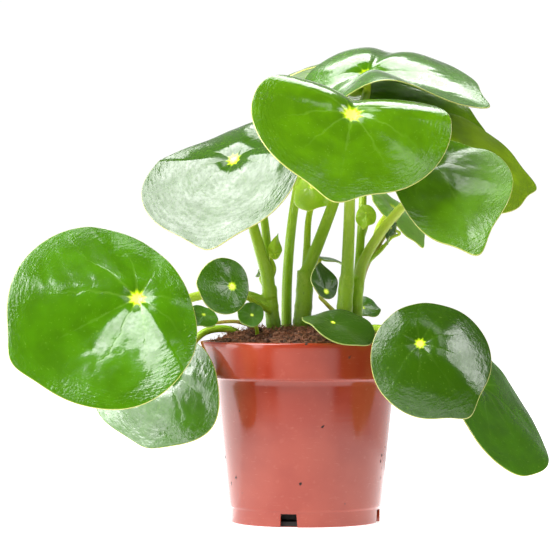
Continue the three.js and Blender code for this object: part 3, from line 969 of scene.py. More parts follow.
@dataclass
class Blade:
    """One leaf, held by its stalk at a point inside its outline.

    Heading is the compass direction of the tip (0 is +X, 90 is +Y), pitch its rise, roll the turn
    about the midrib, all in degrees. Tip, base and half are the reaches from the stalk. Skew, egg and
    point shape the outline, and the terms from droop to ridges bend the blade. A ridge has an angle
    from the tip, a rise and a width in degrees. Tone goes from dark to bright, spot is the radius of
    the yellow spot, and rim the thickness at the edge. The last fields are the same for every leaf.
    """

    name: str
    at: Point
    heading: float
    pitch: float
    roll: float
    tip: float
    base: float
    half: float
    skew: float = 0.0
    egg: float = 0.08
    point: float = 4.0
    droop: float = 5.0
    hang: float = 2.0
    arch: float = 5.0
    lift: float = 0.0
    twist: float = 0.0
    wave: float = 0.5
    ridges: Sequence[Point] = ()
    age: Age = Age.FULL
    tone: float = 0.5
    spot: float = 4.5
    rim: float = 0.8
    drip_tip: float = 0.24
    lobe_rise: float = 1.6
    lobe_ease: float = 0.14
    dimple: float = 7
    waves: int = 5
    groove: float = 1.6
    groove_start: float = 5
    groove_above: float = 0.05
    groove_below: float = 0.45
    swelling: float = 0.1
    pucker: float = 0.14
    pucker_waves: tuple[float, float, int] = (24, 5, 40)
    ruffle: float = 0.3
    ruffles: int = 9
    tip_crowding: float = 0.35

    @property
    def growth(self) -> Growth:
        """Large or small, by the reach of the tip."""
        return LARGE if self.tip > LARGE_FROM else SMALL

    def axes(self) -> tuple[Array, Array, Array]:
        """The directions of the blade.

        Returns:
            The unit directions along the midrib, across it, and out of the upper face.
        """
        heading, pitch, roll = np.radians((self.heading, self.pitch, self.roll))
        along = np.array((np.cos(pitch) * np.cos(heading), np.cos(pitch) * np.sin(heading), np.sin(pitch)))
        level = np.array((-np.sin(heading), np.cos(heading), 0.0))
        upright = np.cross(along, level)
        across = level * np.cos(roll) + upright * np.sin(roll)
        return along, across, upright * np.cos(roll) - level * np.sin(roll)

    def placed(self, ahead: Array, beside: Array, above: Array) -> Array:
        """Points of the blade's plane in their places on the plant.

        Args:
            ahead: millimetres ahead of the stalk.
            beside: millimetres beside it.
            above: millimetres above the plane.
        Returns:
            The points.
        """
        along, across, normal = self.axes()
        flat = np.array(self.at) + ahead[..., None] * along + beside[..., None] * across
        return flat + above[..., None] * normal

    def outline(self, turn: Array) -> tuple[Array, Array]:
        """The edge at an angle from the tip: an egg with a drip tip.

        Ahead is the ellipse's cosine plus a narrow bell at the tip; beside is its sine, made wider on
        one side by skew and wider towards the base by egg.

        Args:
            turn: angles from the tip, in radians.
        Returns:
            The reach ahead of the stalk and the reach beside it.
        """
        ahead = (self.tip - self.base) / 2 + (self.tip + self.base) / 2 * np.cos(turn)
        ahead = ahead + self.point * np.exp(-((turn / self.drip_tip) ** 2))
        beside = self.half * (1 + self.skew * np.sin(turn)) * np.sin(turn) * (1 - self.egg * np.cos(turn))
        return ahead, beside

    def ridge(self, angle: Array, ridge: Point) -> Array:
        """The height of one ridge at an angle from the tip: a bell over its own angle.

        Args:
            angle: angles from the tip, in radians.
            ridge: the ridge's angle in degrees, its rise, and its width in degrees.
        Returns:
            Its height half a blade's width from the stalk.
        """
        at, rise, width = ridge
        off = np.degrees(np.mod(angle - np.radians(at) + np.pi, TAU) - np.pi)
        return rise * np.exp(-((off / width) ** 2))

    def height(self, ahead: Array, beside: Array) -> Array:
        """The height of the blade over the plane of its midrib and stalk.

        Droop, hang and arch fall with the square of the way to the tip, base and side; lift raises the
        two lobes beside the base, and twist one side at the tip. A ridge is a bell over its angle from
        the tip, and rises with the distance from the stalk. A dimple lies over the stalk and five low
        waves run round the edge.

        Args:
            ahead: millimetres ahead of the stalk.
            beside: millimetres beside it.
        Returns:
            The height at each point.
        """
        to_tip, to_base = np.maximum(ahead, 0) / self.tip, np.maximum(-ahead, 0) / self.base
        side = beside / self.half
        apart = np.sqrt(side**2 + self.lobe_ease**2) - self.lobe_ease
        radius, angle = np.hypot(ahead, beside), np.arctan2(beside, ahead)
        opening = 1 - np.exp(-((radius / self.dimple) ** 2))
        folds = sum(self.ridge(angle, ridge) for ridge in self.ridges)
        return (
            -self.droop * to_tip**2 - self.hang * to_base**2 - self.arch * side**2
            + self.lift * self.lobe_rise * to_base * apart + self.twist * (ahead / self.tip) * side
            + opening * (self.growth.cup + folds * radius / self.half)
            + self.wave * (radius / self.half) ** 2 * np.sin(self.waves * angle)
        )

    def nerve(self, ahead: Array, beside: Array, share: Array) -> Array:
        """How near a main nerve each point is, from 0 to 1, fading out towards the edge.

        Args:
            ahead: millimetres ahead of the stalk.
            beside: millimetres beside it.
            share: the share of the way to the edge.
        Returns:
            1 on a nerve and 0 away from it.
        """
        radius = np.hypot(ahead, beside)
        angle = np.abs(np.arctan2(beside, ahead)) * (1 + NERVE_BEND * radius) / NERVE_SPACING
        off = np.abs(angle - np.round(angle)) * NERVE_SPACING * radius
        return np.exp(-((off / self.groove) ** 2)) * (1 - share) * np.minimum(radius / self.groove_start, 1)

    def relief(self, ahead: Array, beside: Array, share: Array) -> Array:
        """Fine form of the upper face: sunken nerves, swollen fields between them and a restless edge.

        A field swells with the square of the sine of its angle between two nerves, the puckers are
        waves from 24 to 5 mm long, and the ruffles are a sine round the edge.

        Args:
            ahead: millimetres ahead of the stalk.
            beside: millimetres beside it.
            share: the share of the way to the edge.
        Returns:
            The height to add at each point.
        """
        radius, turn = np.hypot(ahead, beside), np.arctan2(beside, ahead)
        angle = np.abs(turn) * (1 + NERVE_BEND * radius)
        field = np.sin(np.pi * angle / NERVE_SPACING) ** 2 * share * (1 - share) * 2
        plane = np.stack((ahead, beside), -1)
        puckers = plane_waves(plane, *self.pucker_waves, len(self.name)) * self.pucker * share * (1.3 - share)
        ruffle = np.sin(self.ruffles * turn + self.heading) * self.ruffle * share**3
        sunken = self.groove_above * self.nerve(ahead, beside, share)
        return self.growth.relief * (self.swelling * field + puckers + ruffle - sunken)

    def surface(self) -> tuple[Array, list[Array], dict[str, Array]]:
        """Both faces and the rounded edge, as rings from the middle of the top to that of the underside.

        A ring is the outline shrunk by its share. The edge is half a circle as thick as the rim, and the
        faces lie half the thickness above and below the height, which eases from the middle's to the
        rim's with the cube of the share.

        Returns:
            The points, the faces, and the values that the finish reads.
        """
        spokes, rings, middle = self.growth.spokes, self.growth.rings, self.growth.middle
        turn = -np.pi + TAU * (np.arange(spokes) + 0.5) / spokes
        ahead, beside = self.outline(turn - self.tip_crowding * np.sin(turn))
        edge = self.rim / 2 / np.hypot(ahead, beside)
        steps = (np.arange(1, rings + 1) / rings)[:, None]
        arc = np.radians(np.arange(1, 8) * 22.5)[:, None]
        every = np.ones(spokes)
        share = np.concatenate((steps * (1 - edge), 1 - edge * (1 - np.sin(arc)), (steps * (1 - edge))[::-1]))
        flat = (middle + (self.rim - middle) * steps**3) / 2 * every
        offset = np.concatenate((flat, self.rim / 2 * np.cos(arc) * every, -flat[::-1]))
        face = np.concatenate((np.ones(rings), (1 + np.cos(arc[:, 0])) / 2, np.zeros(rings)))[:, None] * every
        a, b = ahead * share, beside * share
        groove = (1 - face) * self.groove_below * self.nerve(a, b, share)
        above = self.height(a, b) + self.relief(a, b, share) + offset - groove
        zero = np.zeros(2)
        either = np.array((middle, -middle)) / 2
        centre = self.height(zero, zero) + self.relief(zero, zero, zero) + either
        points, faces = closed_rings(self.placed(a, b, above)[:, ::-1], *self.placed(zero, zero, centre))
        inset = (1 - share) * np.hypot(ahead, beside)
        ends = ((a, zero), (b, zero), (inset, zero + self.base))
        values = {
            "plane": np.stack([rings_in_order(rows, poles) for rows, poles in ends], -1),
            "face": rings_in_order(face, np.array((1.0, 0.0))),
            "tone": np.full(len(points), self.tone),
            "spot": np.full(len(points), self.spot),
        }
        return points, faces, values


def rings_in_order(rings: Array, poles: Array) -> Array:
    """Values of a blade's rings in the order of its points, with those of the two poles last."""
    return np.concatenate((rings[:, ::-1].reshape(-1), poles))


@dataclass
class Foliage:
    """All the leaves, each dressed in the finish of its age."""

    blades: list[Blade] = field(default_factory=lambda: [
        Blade("big_left", (-93, -55, 127), 196, -26, -60, 73, 27, 58.5, skew=-0.01, point=5, droop=-5,
              hang=0, arch=7, lift=-8, ridges=((10, -7, 30), (98, 12, 34)), tone=0.5),
        Blade("low_left", (-75, -22, 84), 215, -69, -17, 41, 22, 44, skew=-0.1, egg=-0.2, point=3, droop=1,
              hang=4, arch=1, twist=-4.5, tone=0.42),
        Blade("upper_left", (-40, -14, 205), 245, -55, 6, 53, 33, 50, egg=-0.2, point=7, droop=4, hang=9,
              arch=-6, lift=-14, tone=0.15, spot=3.8),
        Blade("crown_front", (25, -50, 228.5), 257, -50, -20, 56, 33, 55, egg=0.12, point=7, droop=3,
              hang=24, arch=4, ridges=((90, 9, 28), (125, 9, 30), (-125, 8, 35), (178, -10, 18)), tone=0.62,
              spot=5.5),
        Blade("crown_back", (37.5, 50, 258), 338, -20, 37, 67, 39, 55, egg=0, point=12, droop=2, hang=16,
              arch=18, ridges=((-58, 50, 40), (100, -6, 11)), tone=0.45),
        Blade("under_crown", (30, 66, 247), 345, -12, 35, 75, 25, 37, egg=0.14, point=8, droop=10, hang=3,
              arch=4, tone=0.75, spot=8),
        Blade("right_back", (81, 9.5, 206), 16, -8, 46, 52, 26, 42, egg=0.1, point=8, droop=8.5, arch=2,
              tone=1.0),
        Blade("right_front", (70, -26, 204), 292, -31, 11, 66, 13, 33, skew=0.07, egg=0, point=9, droop=15,
              hang=-5, arch=-3, lift=4, twist=9, tone=0.62, spot=2.5),
        Blade("low_right", (61.5, -77, 102.9), 332, -50, 54, 42, 23, 33.5, skew=0.06, egg=0, point=5,
              droop=9, hang=3, arch=12, tone=0.13, spot=2.6),
        Blade("far_right", (96, -38, 79), 332, -59, 2, 60, 30, 40, skew=0.04, egg=0, point=-1, droop=-2,
              hang=1, arch=3, lift=3, twist=4.5, tone=0.42, spot=3),
        Blade("rim_front", (14.5, -62, 114), 145, 29, -13, 17, 25, 19, point=3, droop=7, hang=1, arch=-1,
              tone=0.02, spot=1.2),
        Blade("small_left", (-41, -50, 134), 200, 5, -79, 20, 10, 16, point=0.7, droop=1.3, hang=1,
              arch=1.5, tone=0.25, spot=2.2),
        Blade("tiny_left", (-30, -42, 118), 177, 23, -57, 8, 6.5, 8, point=0.8, droop=1.3, hang=0.4,
              arch=0.4, tone=0.3, spot=0.9),
        Blade("hidden_left", (-57, -36, 118), 245, -30, -30, 10, 7, 9, point=1, droop=1.5, hang=0.4, arch=1,
              tone=0.5, spot=1.0),
        Blade("dark_small", (11, -46, 131), 117, 68, 7, 17, 4.5, 8.3, point=1, droop=1, hang=0, arch=0.5,
              twist=-0.8, tone=0.02, spot=1.6),
        Blade("back_left", (-36, 47, 216), 152, -22, 6, 48, 24, 35, point=6, droop=9, hang=3, arch=6,
              tone=0.8),
        Blade("back_high", (9, 108, 265), 120, -14, -10, 42, 20, 30, point=6, droop=9, hang=3, arch=5,
              tone=0.8),
        Blade("folded", (4, 8, 191), 262, -62, 6, 15, 9, 12, point=1, droop=1, hang=1, arch=8,
              age=Age.YOUNG, spot=2),
        Blade("back_low", (9, 45, 151), 20, -10, 5, 16, 9, 11, point=2, droop=3, hang=1, arch=2, tone=0.55,
              spot=1.8),
        Blade("pale_right", (52, 48, 180), 330, -42, 0, 27, 16, 18, point=4, droop=5, hang=2, arch=3,
              age=Age.PALE, spot=3),
        Blade("back_right", (34, 38, 121), 60, 20, 30, 14, 8, 10, point=1, droop=2, hang=0.5, arch=1,
              tone=0.5, spot=1.5),
        Blade("young_left", (-17.5, -14.5, 152), 60, 70, 50, 11, 3, 4, point=2, droop=1, hang=0, arch=1,
              age=Age.YOUNG, spot=0.6),
        Blade("young_right", (35, 8, 176), 250, -70, -10, 9, 5, 6, point=1.5, droop=0, hang=0, arch=3,
              age=Age.YOUNG, spot=0.6),
        Blade("dark_right", (50, 8, 167), 230, -60, 25, 8, 4.5, 5, point=2.5, droop=1, hang=0, arch=1,
              tone=0.1, spot=0.6),
        Blade("tiny_back", (-26, 12, 143), 120, -50, -60, 4.5, 3, 3.2, point=0.5, droop=0.5, hang=0,
              arch=0.4, tone=0.3, spot=0.4),
    ])

    def finishes(self) -> dict[Age, tuple[Material, str]]:
        """The finishes of all ages.

        Returns:
            The material and the record's slot for each age.
        """
        full = LeafFinish(
            "leaf_skin", deep=(0.02, 0.06, 0.001), middle=(0.05, 0.16, 0.001), bright=(0.18, 0.30, 0.002)
        )
        young = LeafFinish(
            "young_leaf_skin", deep=(0.20, 0.40, 0.01), middle=(0.42, 0.62, 0.02), bright=(0.5, 0.68, 0.03),
            under=(0.45, 0.62, 0.06), edge=(0.55, 0.42, 0.06), flesh=0.4, roughness=0.33,
        )
        # the pale leaf's bright greens are partly its own and partly painted light, standing in for light
        # shining through it
        pale = LeafFinish(
            "pale_leaf_skin", deep=(0.20, 0.42, 0.03), middle=(0.34, 0.56, 0.12), bright=(0.62, 0.86, 0.12),
            under=(0.6, 0.84, 0.1), flesh=0.4, roughness=0.33,
        )
        return {
            Age.FULL: (full.make(), "leaf"),
            Age.YOUNG: (young.make(), "young_leaf"),
            Age.PALE: (pale.make(), "young_leaf"),
        }

    def build(self) -> None:
        """Makes each leaf, dresses it and sets it in the place of its solid."""
        finishes = self.finishes()
        for blade in self.blades:
            piece = make_mesh(blade.name + "_leaf", *blade.surface())
            material, slot = finishes[blade.age]
            piece.data.materials.append(material)
            settle(piece, "leaf_" + blade.name)


def settle(piece: Piece, node: str | None) -> None:
    """Gives a piece its body, hides the solid that it stands for, and logs it.

    Args:
        piece: the finished piece.
        node: the solid that it replaces, or None.
    """
    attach(piece, "root")
    if node:
        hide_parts(node)
    log.info("%s: %d faces", piece.name, len(piece.data.polygons))


# ------------------------------------------------------------------------------ stems


@dataclass(frozen=True)
class Tube:
    """One stretch of stem: its points, its radius at either end, and the leaf that it carries.

    The other fields are the same for every tube. Clear and sunk set how deep it ends in its leaf, and
    a tube as thick as a trunk has leaf scars at their heights. Each swelling has a rise, as a share
    of the radius, and a reach. Ripeness starts at soil_ripe or, above soil_top, at trunk_ripe.
    """

    through: Sequence[Point]
    start: float
    end: float
    leaf: str = ""
    blush: float = 0.0
    step: float = 1.2
    fewest: int = 10
    clear: float = 0.35
    sunk: float = 0.6
    trunk_from: float = 4
    scars: Point = (113.5, 122.5, 131.5)
    scar_rise: float = 0.07
    scar_reach: float = 1.1
    foot_rise: float = 0.16
    foot_reach: float = 5
    joint_rise: float = 0.3
    joint_reach: float = 2.2
    soil_top: float = 112
    soil_ripe: float = 0.15
    trunk_ripe: float = 0.3
    trunk_foot: float = 100
    trunk_growth: float = 90
    trunk_ripest: float = 0.35

    @property
    def trunk(self) -> bool:
        """Whether the tube is thick enough for a trunk."""
        return self.start > self.trunk_from

    def path(self, blades: dict[str, Blade]) -> Array:
        """The middle line, which meets a leaf's underside square and runs a little way into it.

        Args:
            blades: the leaves by name.
        Returns:
            The points of the line, about a step apart.
        """
        points = list(self.through)
        if self.leaf:
            blade = blades[self.leaf]
            normal = blade.axes()[2]
            under = blade.growth.middle / 2 + self.clear
            depths = (under + blade.growth.approach, under - self.sunk)
            points += [tuple(np.array(blade.at) - normal * depth) for depth in depths]
        length = np.linalg.norm(np.diff(np.array(points), axis=0), axis=1).sum()
        return smooth_path(points, max(self.fewest, int(length / self.step)))

    def girth(self, path: Array) -> Array:
        """The radius along the path: an even taper, a swelling at either joint, and rings on a trunk.

        Each swelling and each ring is a bell over the way along the tube, or over the height.

        Args:
            path: the middle line.
        Returns:
            The radius at each point.
        """
        done = way_along(path)
        left = done[-1] - done
        taper = self.start + (self.end - self.start) * done / done[-1]
        foot = self.foot_rise * np.exp(-((done / self.foot_reach) ** 2)) * (not self.trunk)
        joint = self.joint_rise * np.exp(-((left / self.joint_reach) ** 2)) if self.leaf else 0
        levels = self.scars if self.trunk else ()
        apart = [(path[:, 2] - level) / self.scar_reach for level in levels]
        rings = sum(self.scar_rise * np.exp(-(way**2)) for way in apart)
        return taper * (1 + (foot + joint) + rings)

    def ripeness(self, path: Array) -> Array:
        """How ripe the skin is: from 0 at the soil to 1 at the leaf.

        A tube without a leaf ripens with its height. A stalk ripens evenly, from less if it starts in
        the soil.

        Args:
            path: the middle line.
        Returns:
            The ripeness at each point.
        """
        if not self.leaf:
            return np.clip((path[:, 2] - self.trunk_foot) / self.trunk_growth, 0, self.trunk_ripest)
        first = self.trunk_ripe if path[0, 2] > self.soil_top else self.soil_ripe
        return np.linspace(first, 1, len(path))


@dataclass
class Stems:
    """The upright stems and the stalks, each bunch grown into one skin."""

    voxel: float = 0.55
    ease: float = 0.5
    ease_rounds: int = 6
    trunk_sides: int = 28
    stalk_sides: int = 20
    cap: float = 0.2
    bunches: dict[str, list[Tube]] = field(default_factory=lambda: {
        "stem_left": [
            Tube([(-17, -8, 90), (-17.5, -8, 108), (-19, -9, 120), (-20, -10, 134)], 4.6, 3.8),
            Tube([(-20, -10, 128), (-22, -12, 141), (-26, -13, 156), (-31, -10, 174)],
                 3.8, 2.3, "upper_left"),
            Tube([(-19, -9, 122), (-30, -12, 128), (-52, -22, 130), (-78, -32, 124)], 3, 2.3, "big_left"),
            Tube([(-19, -9, 126), (-21, -4, 150), (-24, 8, 176)], 2.7, 2, "back_left"),
            Tube([(-20, -10, 137), (-17.5, -12, 144)], 1.4, 1, "young_left"),
            Tube([(-19, -8, 128), (-23, -2, 133), (-25.5, 5, 139)], 1, 0.8, "tiny_back"),
            Tube([(-18, -9, 119), (-27, -20, 124), (-36, -33, 130)], 1.9, 1.2, "small_left"),
        ],
        "stem_back_left": [
            Tube([(-10, 8, 90), (-10.5, 8, 108), (-10, 12, 140), (-6, 32, 180), (4, 69, 228)],
                 3.2, 2.2, "back_high"),
        ],
        "stem_centre": [
            Tube([(-2, -4, 90), (-2, -4, 110), (-0.5, -4, 128), (0, -4, 143)], 5.6, 4.6),
            Tube([(0, -4, 140), (5, -4, 152), (12, -3, 170), (18, -2, 187), (30, 20, 231)],
                 3.6, 2.5, "crown_back"),
            Tube([(0, -3.5, 138), (1, -1, 155), (2, 4, 172)], 2.4, 1.6, "folded"),
            Tube([(0, -3, 136), (-1, 6, 140), (2, 24, 141), (6, 38, 143)], 2.2, 1.5, "back_low", 0.35),
        ],
        "stem_right": [
            Tube([(22, -10, 90), (22, -10, 108), (22.5, -10, 124), (23.5, -10, 139)], 5.2, 4.2),
            Tube([(23.5, -10, 134), (24.2, -10.5, 150), (25, -13, 175), (25, -25, 202)],
                 3.8, 2.4, "crown_front"),
            Tube([(22, -11, 114), (17, -20, 119), (11, -31, 125)], 1.6, 1, "dark_small", 0.5),
        ],
        "stem_far_right": [
            Tube([(29, 1, 90), (29, 1, 108), (29, 1, 122), (30, 2, 138)], 4.4, 3.8),
            Tube([(30, 2, 132), (33, 1, 147), (42, -3, 163), (53, -12, 177)],
                 3.2, 2.3, "right_front", 0.15),
            Tube([(29.5, 2, 128), (34, 7, 145), (44, 14, 162), (58, 18, 181)], 2.8, 2.1, "right_back", 0.6),
            Tube([(30, 2, 136), (32, 9, 160), (34, 29, 190), (33, 54, 221)], 2.6, 2, "under_crown"),
            Tube([(29.5, 2, 130), (33, 17, 145), (40, 32, 158)], 2.2, 1.5, "pale_right", 0.2),
            Tube([(31.5, 5, 148), (33, 11, 160), (36, 15, 170)], 1.4, 1, "young_right"),
            Tube([(36, 6.5, 148), (44, 10, 155), (50, 13, 162)], 1.3, 0.9, "dark_right"),
        ],
        "stalk_low_left": [
            Tube([(-36, 4, 92), (-36.5, 4, 105), (-45, 3, 109.5), (-58, 1, 107.5), (-67, -4, 96)],
                 2.3, 2, "low_left"),
        ],
        "stalk_low_right": [
            Tube([(27, -26, 92), (28, -27, 106), (36, -36, 110.5), (46, -46, 109.5), (57, -56, 102)],
                 2.4, 1.9, "low_right"),
        ],
        "stalk_far_right": [
            Tube([(38, -8, 92), (39, -9, 106), (50, -14, 111), (62, -19, 107), (76, -26, 94)],
                 2.4, 2, "far_right"),
        ],
        "stalk_rim_front": [Tube([(12, -36, 92), (12, -37, 104), (14, -48, 107.5)], 1.9, 1.4, "rim_front")],
        "stalk_small_left": [Tube([(-27, -24, 92), (-27, -25, 107), (-28, -31, 112)], 1.4, 1, "tiny_left")],
        "stalk_hidden_left": [
            Tube([(-26, -12, 94), (-27, -13, 108), (-38, -20, 114)], 1.4, 1, "hidden_left", 0.9),
        ],
        "stalk_back_right": [
            Tube([(28, 26, 92), (28.5, 27, 106), (30, 31, 112)], 1.5, 1.1, "back_right", 0.3),
        ],
    })

    def skin(self, name: str, tubes: list[Tube], blades: dict[str, Blade]) -> Piece:
        """One bunch of tubes, merged into one skin and smoothed where they part.

        Args:
            name: the new piece's name.
            tubes: its tubes.
            blades: the leaves by name.
        Returns:
            The piece, with what its finish reads.
        """
        points, faces, lines, count = [], [], [], 0
        for tube in tubes:
            path = tube.path(blades)
            radius = tube.girth(path)
            tangent = tube_frames(path)[0]
            rings = tube_rings(path, radius, self.trunk_sides if tube.trunk else self.stalk_sides)
            ends = path[0] - tangent[0] * self.cap, path[-1] + tangent[-1] * self.cap
            skin, groups = closed_rings(rings, *ends)
            points.append(skin)
            faces += [group + count for group in groups]
            count += len(skin)
            lines.append((path, radius, tube))
        piece = make_mesh(name, np.concatenate(points), faces)
        remesh = piece.modifiers.new("skin", "REMESH")
        remesh.mode, remesh.voxel_size = "VOXEL", self.voxel * MM
        smooth = piece.modifiers.new("ease", "SMOOTH")
        smooth.factor, smooth.iterations = self.ease, self.ease_rounds
        apply_modifiers(piece)
        piece.data.shade_smooth()
        self.follow(piece.data, lines)
        return piece

    def follow(self, mesh: bpy.types.Mesh, lines: list[tuple[Array, Array, Tube]]) -> None:
        """Stores, for each point, where it lies round and along the tube that it is nearest to.

        Nearest is by the distance from a middle line over its radius. Fibre is the cosine and sine of
        the angle round the tube and the way along it in centimetres, with each tube starting 3 cm on
        from the last. Ripe and blush are the tube's own.

        Args:
            mesh: the merged skin.
            lines: middle line, radius and tube of each part.
        """
        spacing, batch = 30, 4000
        points = points_of(mesh)
        middle = np.concatenate([path for path, _, _ in lines])
        frames = [tube_frames(path) for path, _, _ in lines]
        side, other = (np.concatenate([frame[i] for frame in frames]) for i in (1, 2))
        size = np.concatenate([radius for _, radius, _ in lines])
        ways = [way_along(path) + spacing * index for index, (path, _, _) in enumerate(lines)]
        ripe = np.concatenate([tube.ripeness(path) for path, _, tube in lines])
        blush = np.concatenate([np.full(len(path), tube.blush) for path, _, tube in lines])
        nearest = np.concatenate([
            np.argmin(np.linalg.norm(part[:, None] - middle[None], axis=2) / size, axis=1)
            for part in np.array_split(points, max(1, len(points) // batch))
        ])
        away = points - middle[nearest]
        angle = np.arctan2((away * other[nearest]).sum(1), (away * side[nearest]).sum(1))
        along = np.concatenate(ways)[nearest] / 10
        add_value(mesh, "fibre", np.stack((np.cos(angle), np.sin(angle), along), -1))
        add_value(mesh, "ripe", ripe[nearest])
        add_value(mesh, "blush", blush[nearest])

    def build(self, blades: dict[str, Blade]) -> None:
        """Makes each bunch and sets it in the place of its solid.

        Args:
            blades: the leaves by name.
        """
        material = StemFinish().make()
        for node, tubes in self.bunches.items():
            piece = self.skin(node + "_skin", tubes, blades)
            piece.data.materials.append(material)
            settle(piece, node)


# ------------------------------------------------------------------------------ pot


@dataclass
class Pot:
    """The nursery pot: a thin tapered wall under a tall rim, on a foot with four drain slots."""

    height: float = 103
    rim: float = 60
    rim_height: float = 20.5
    rim_draft: float = 1.2
    lip: float = 2.2
    shoulder: float = 51.2
    foot_top: float = 43.7
    foot: float = 42.7
    foot_height: float = 8.4
    wall: float = 1.3
    floor: float = 3
    pad: float = 26
    ring: float = 3.4
    recess: float = 1.5
    slot_width: float = 9.9
    slot_height: float = 7.5
    slot_first: float = -13
    slot_depth: float = 9
    slot_out: float = 1.5
    slot_narrow: float = 0.9
    slot_wide: float = 1.12
    sides: int = 224
    sharp: float = 38

    def profile(self) -> Array:
        """The cut wall, from the middle of the underside out, up the wall, over the rim and down inside.

        Returns:
            Radius and height of each corner.
        """
        ledge = self.height - self.rim_height
        low = self.rim - self.rim_draft
        inner = self.foot - self.ring
        rows = [
            # the recess of the underside, between its pad and the foot ring
            (self.pad, 0), (self.pad + 0.4, 0.2), (self.pad + 1.5, self.recess), (inner - 1.5, self.recess),
            (inner - 0.3, 0.2), (inner, 0),
            # the foot ring and the step above it
            (self.foot - 0.4, 0), (self.foot, 0.4), (self.foot + 0.15, self.foot_height - 0.3),
            (self.foot + 0.25, self.foot_height), (self.foot_top - 0.15, self.foot_height + 0.7),
            (self.foot_top, self.foot_height + 1.1),
        ]
        rise = np.linspace(self.foot_height + 2, ledge - 1.6, 26)
        share = (rise - self.foot_height) / (ledge - self.foot_height)
        rows += list(zip(self.foot_top + (self.shoulder - self.foot_top) * share, rise))
        rows += [
            (self.shoulder, ledge - 1.2), (self.shoulder + 0.5, ledge - 0.5), (self.shoulder + 1.2, ledge),
            (low - 0.6, ledge), (low - 0.15, ledge + 0.15), (low, ledge + 0.6), (low + 0.02, ledge + 2.2),
            (low + 0.3, ledge + 6), (low + 0.75, self.height - 6), (self.rim - 0.02, self.height - 1.4),
            (self.rim - 0.15, self.height - 0.7), (self.rim - 0.6, self.height - 0.2),
            (self.rim - 1.1, self.height), (self.rim - 1.6, self.height),
            (self.rim - 2.0, self.height - 0.25), (self.rim - self.lip, self.height - 0.8),
            (low - self.wall, ledge + 2.6),
            (self.shoulder, ledge + 1.3), (self.shoulder - self.wall, ledge - 1.3),
            (self.foot - self.wall, self.floor + 1.2), (self.foot - self.wall - 1.2, self.floor),
            (6, self.floor),
        ]
        return np.array(rows)

    def slots(self) -> Piece:
        """The four blocks that cut the drain slots, each a little wider at its foot.

        Returns:
            The blocks as one piece.
        """
        half = self.slot_depth / 2
        box = np.array([[x, y, z] for x in (-half, half) for y in (-0.5, 0.5) for z in (-1, 1)], float)
        sides = np.array([[0, 1, 3, 2], [4, 6, 7, 5], [0, 4, 5, 1], [2, 3, 7, 6], [0, 2, 6, 4], [1, 5, 7, 3]])
        corners, faces = [], []
        for turn in range(4):
            block = box * (1, self.slot_width, self.slot_height) + (self.foot + self.slot_out, 0, 0)
            block[:, 1] *= np.where(block[:, 2] > 0, self.slot_narrow, self.slot_wide)
            angle = np.radians(-90 + self.slot_first + 90 * turn)
            cosine, sine = np.cos(angle), np.sin(angle)
            spin = np.array([[cosine, -sine, 0], [sine, cosine, 0], [0, 0, 1]])
            corners.append(block @ spin.T)
            faces.append(sides + len(box) * turn)
        return make_mesh("slot_cutter", np.concatenate(corners), faces)

    def build(self) -> None:
        """Turns the profile about the pot's axis, cuts the slots and dresses the pot."""
        rings = turned(self.profile(), self.sides)
        points, faces = closed_rings(rings, np.zeros(3), np.array((0.0, 0.0, self.floor)))
        piece = make_mesh("nursery_pot", points, faces)
        cutter = self.slots()
        cut = piece.modifiers.new("slots", "BOOLEAN")
        cut.object, cut.operation, cut.solver = cutter, "DIFFERENCE", "EXACT"
        apply_modifiers(piece)
        bpy.data.objects.remove(cutter)
        piece.data.set_sharp_from_angle(angle=np.radians(self.sharp))
        piece.data.materials.clear()
        piece.data.materials.append(PotFinish().make())
        settle(piece, "pot")


# ------------------------------------------------------------------------------ soil


@dataclass(frozen=True)
class Crumbs:
    """Loose crumbs: how many, how far inside the bed's edge, and what their random draws give.

    Size has the mean and the spread of the size's logarithm, and stand is the share of its size that
    a crumb's middle lies above the surface.
    """

    count: int = 1500
    margin: float = 2.5
    seed: int = 21
    rows: int = 4
    sides: int = 6
    size: tuple[float, float] = (-0.35, 0.45)
    limits: tuple[float, float] = (0.25, 2.0)
    stretch: tuple[float, float] = (0.55, 1.25)
    dents: float = 0.16
    stand: float = 0.25


@dataclass(frozen=True)
class Fibres:
    """Peat fibres: how many, how far inside the bed's edge, and what their random draws give.

    Lifted is the share that rises at one end, and stand the height over the surface. Girth has the
    share of the thickness in the middle, and how much of it a whole length away would lose.
    """

    count: int = 1400
    margin: float = 5
    end_margin: float = 3
    seed: int = 34
    steps: int = 7
    sides: int = 3
    bend: float = 0.9
    length: tuple[float, float] = (5, 19)
    thick: tuple[float, float] = (0.1, 0.33)
    rise: tuple[float, float] = (-0.3, 4.5)
    lifted: float = 0.7
    stand: float = 0.35
    girth: tuple[float, float] = (1.15, 1.2)
    cap: float = 0.1


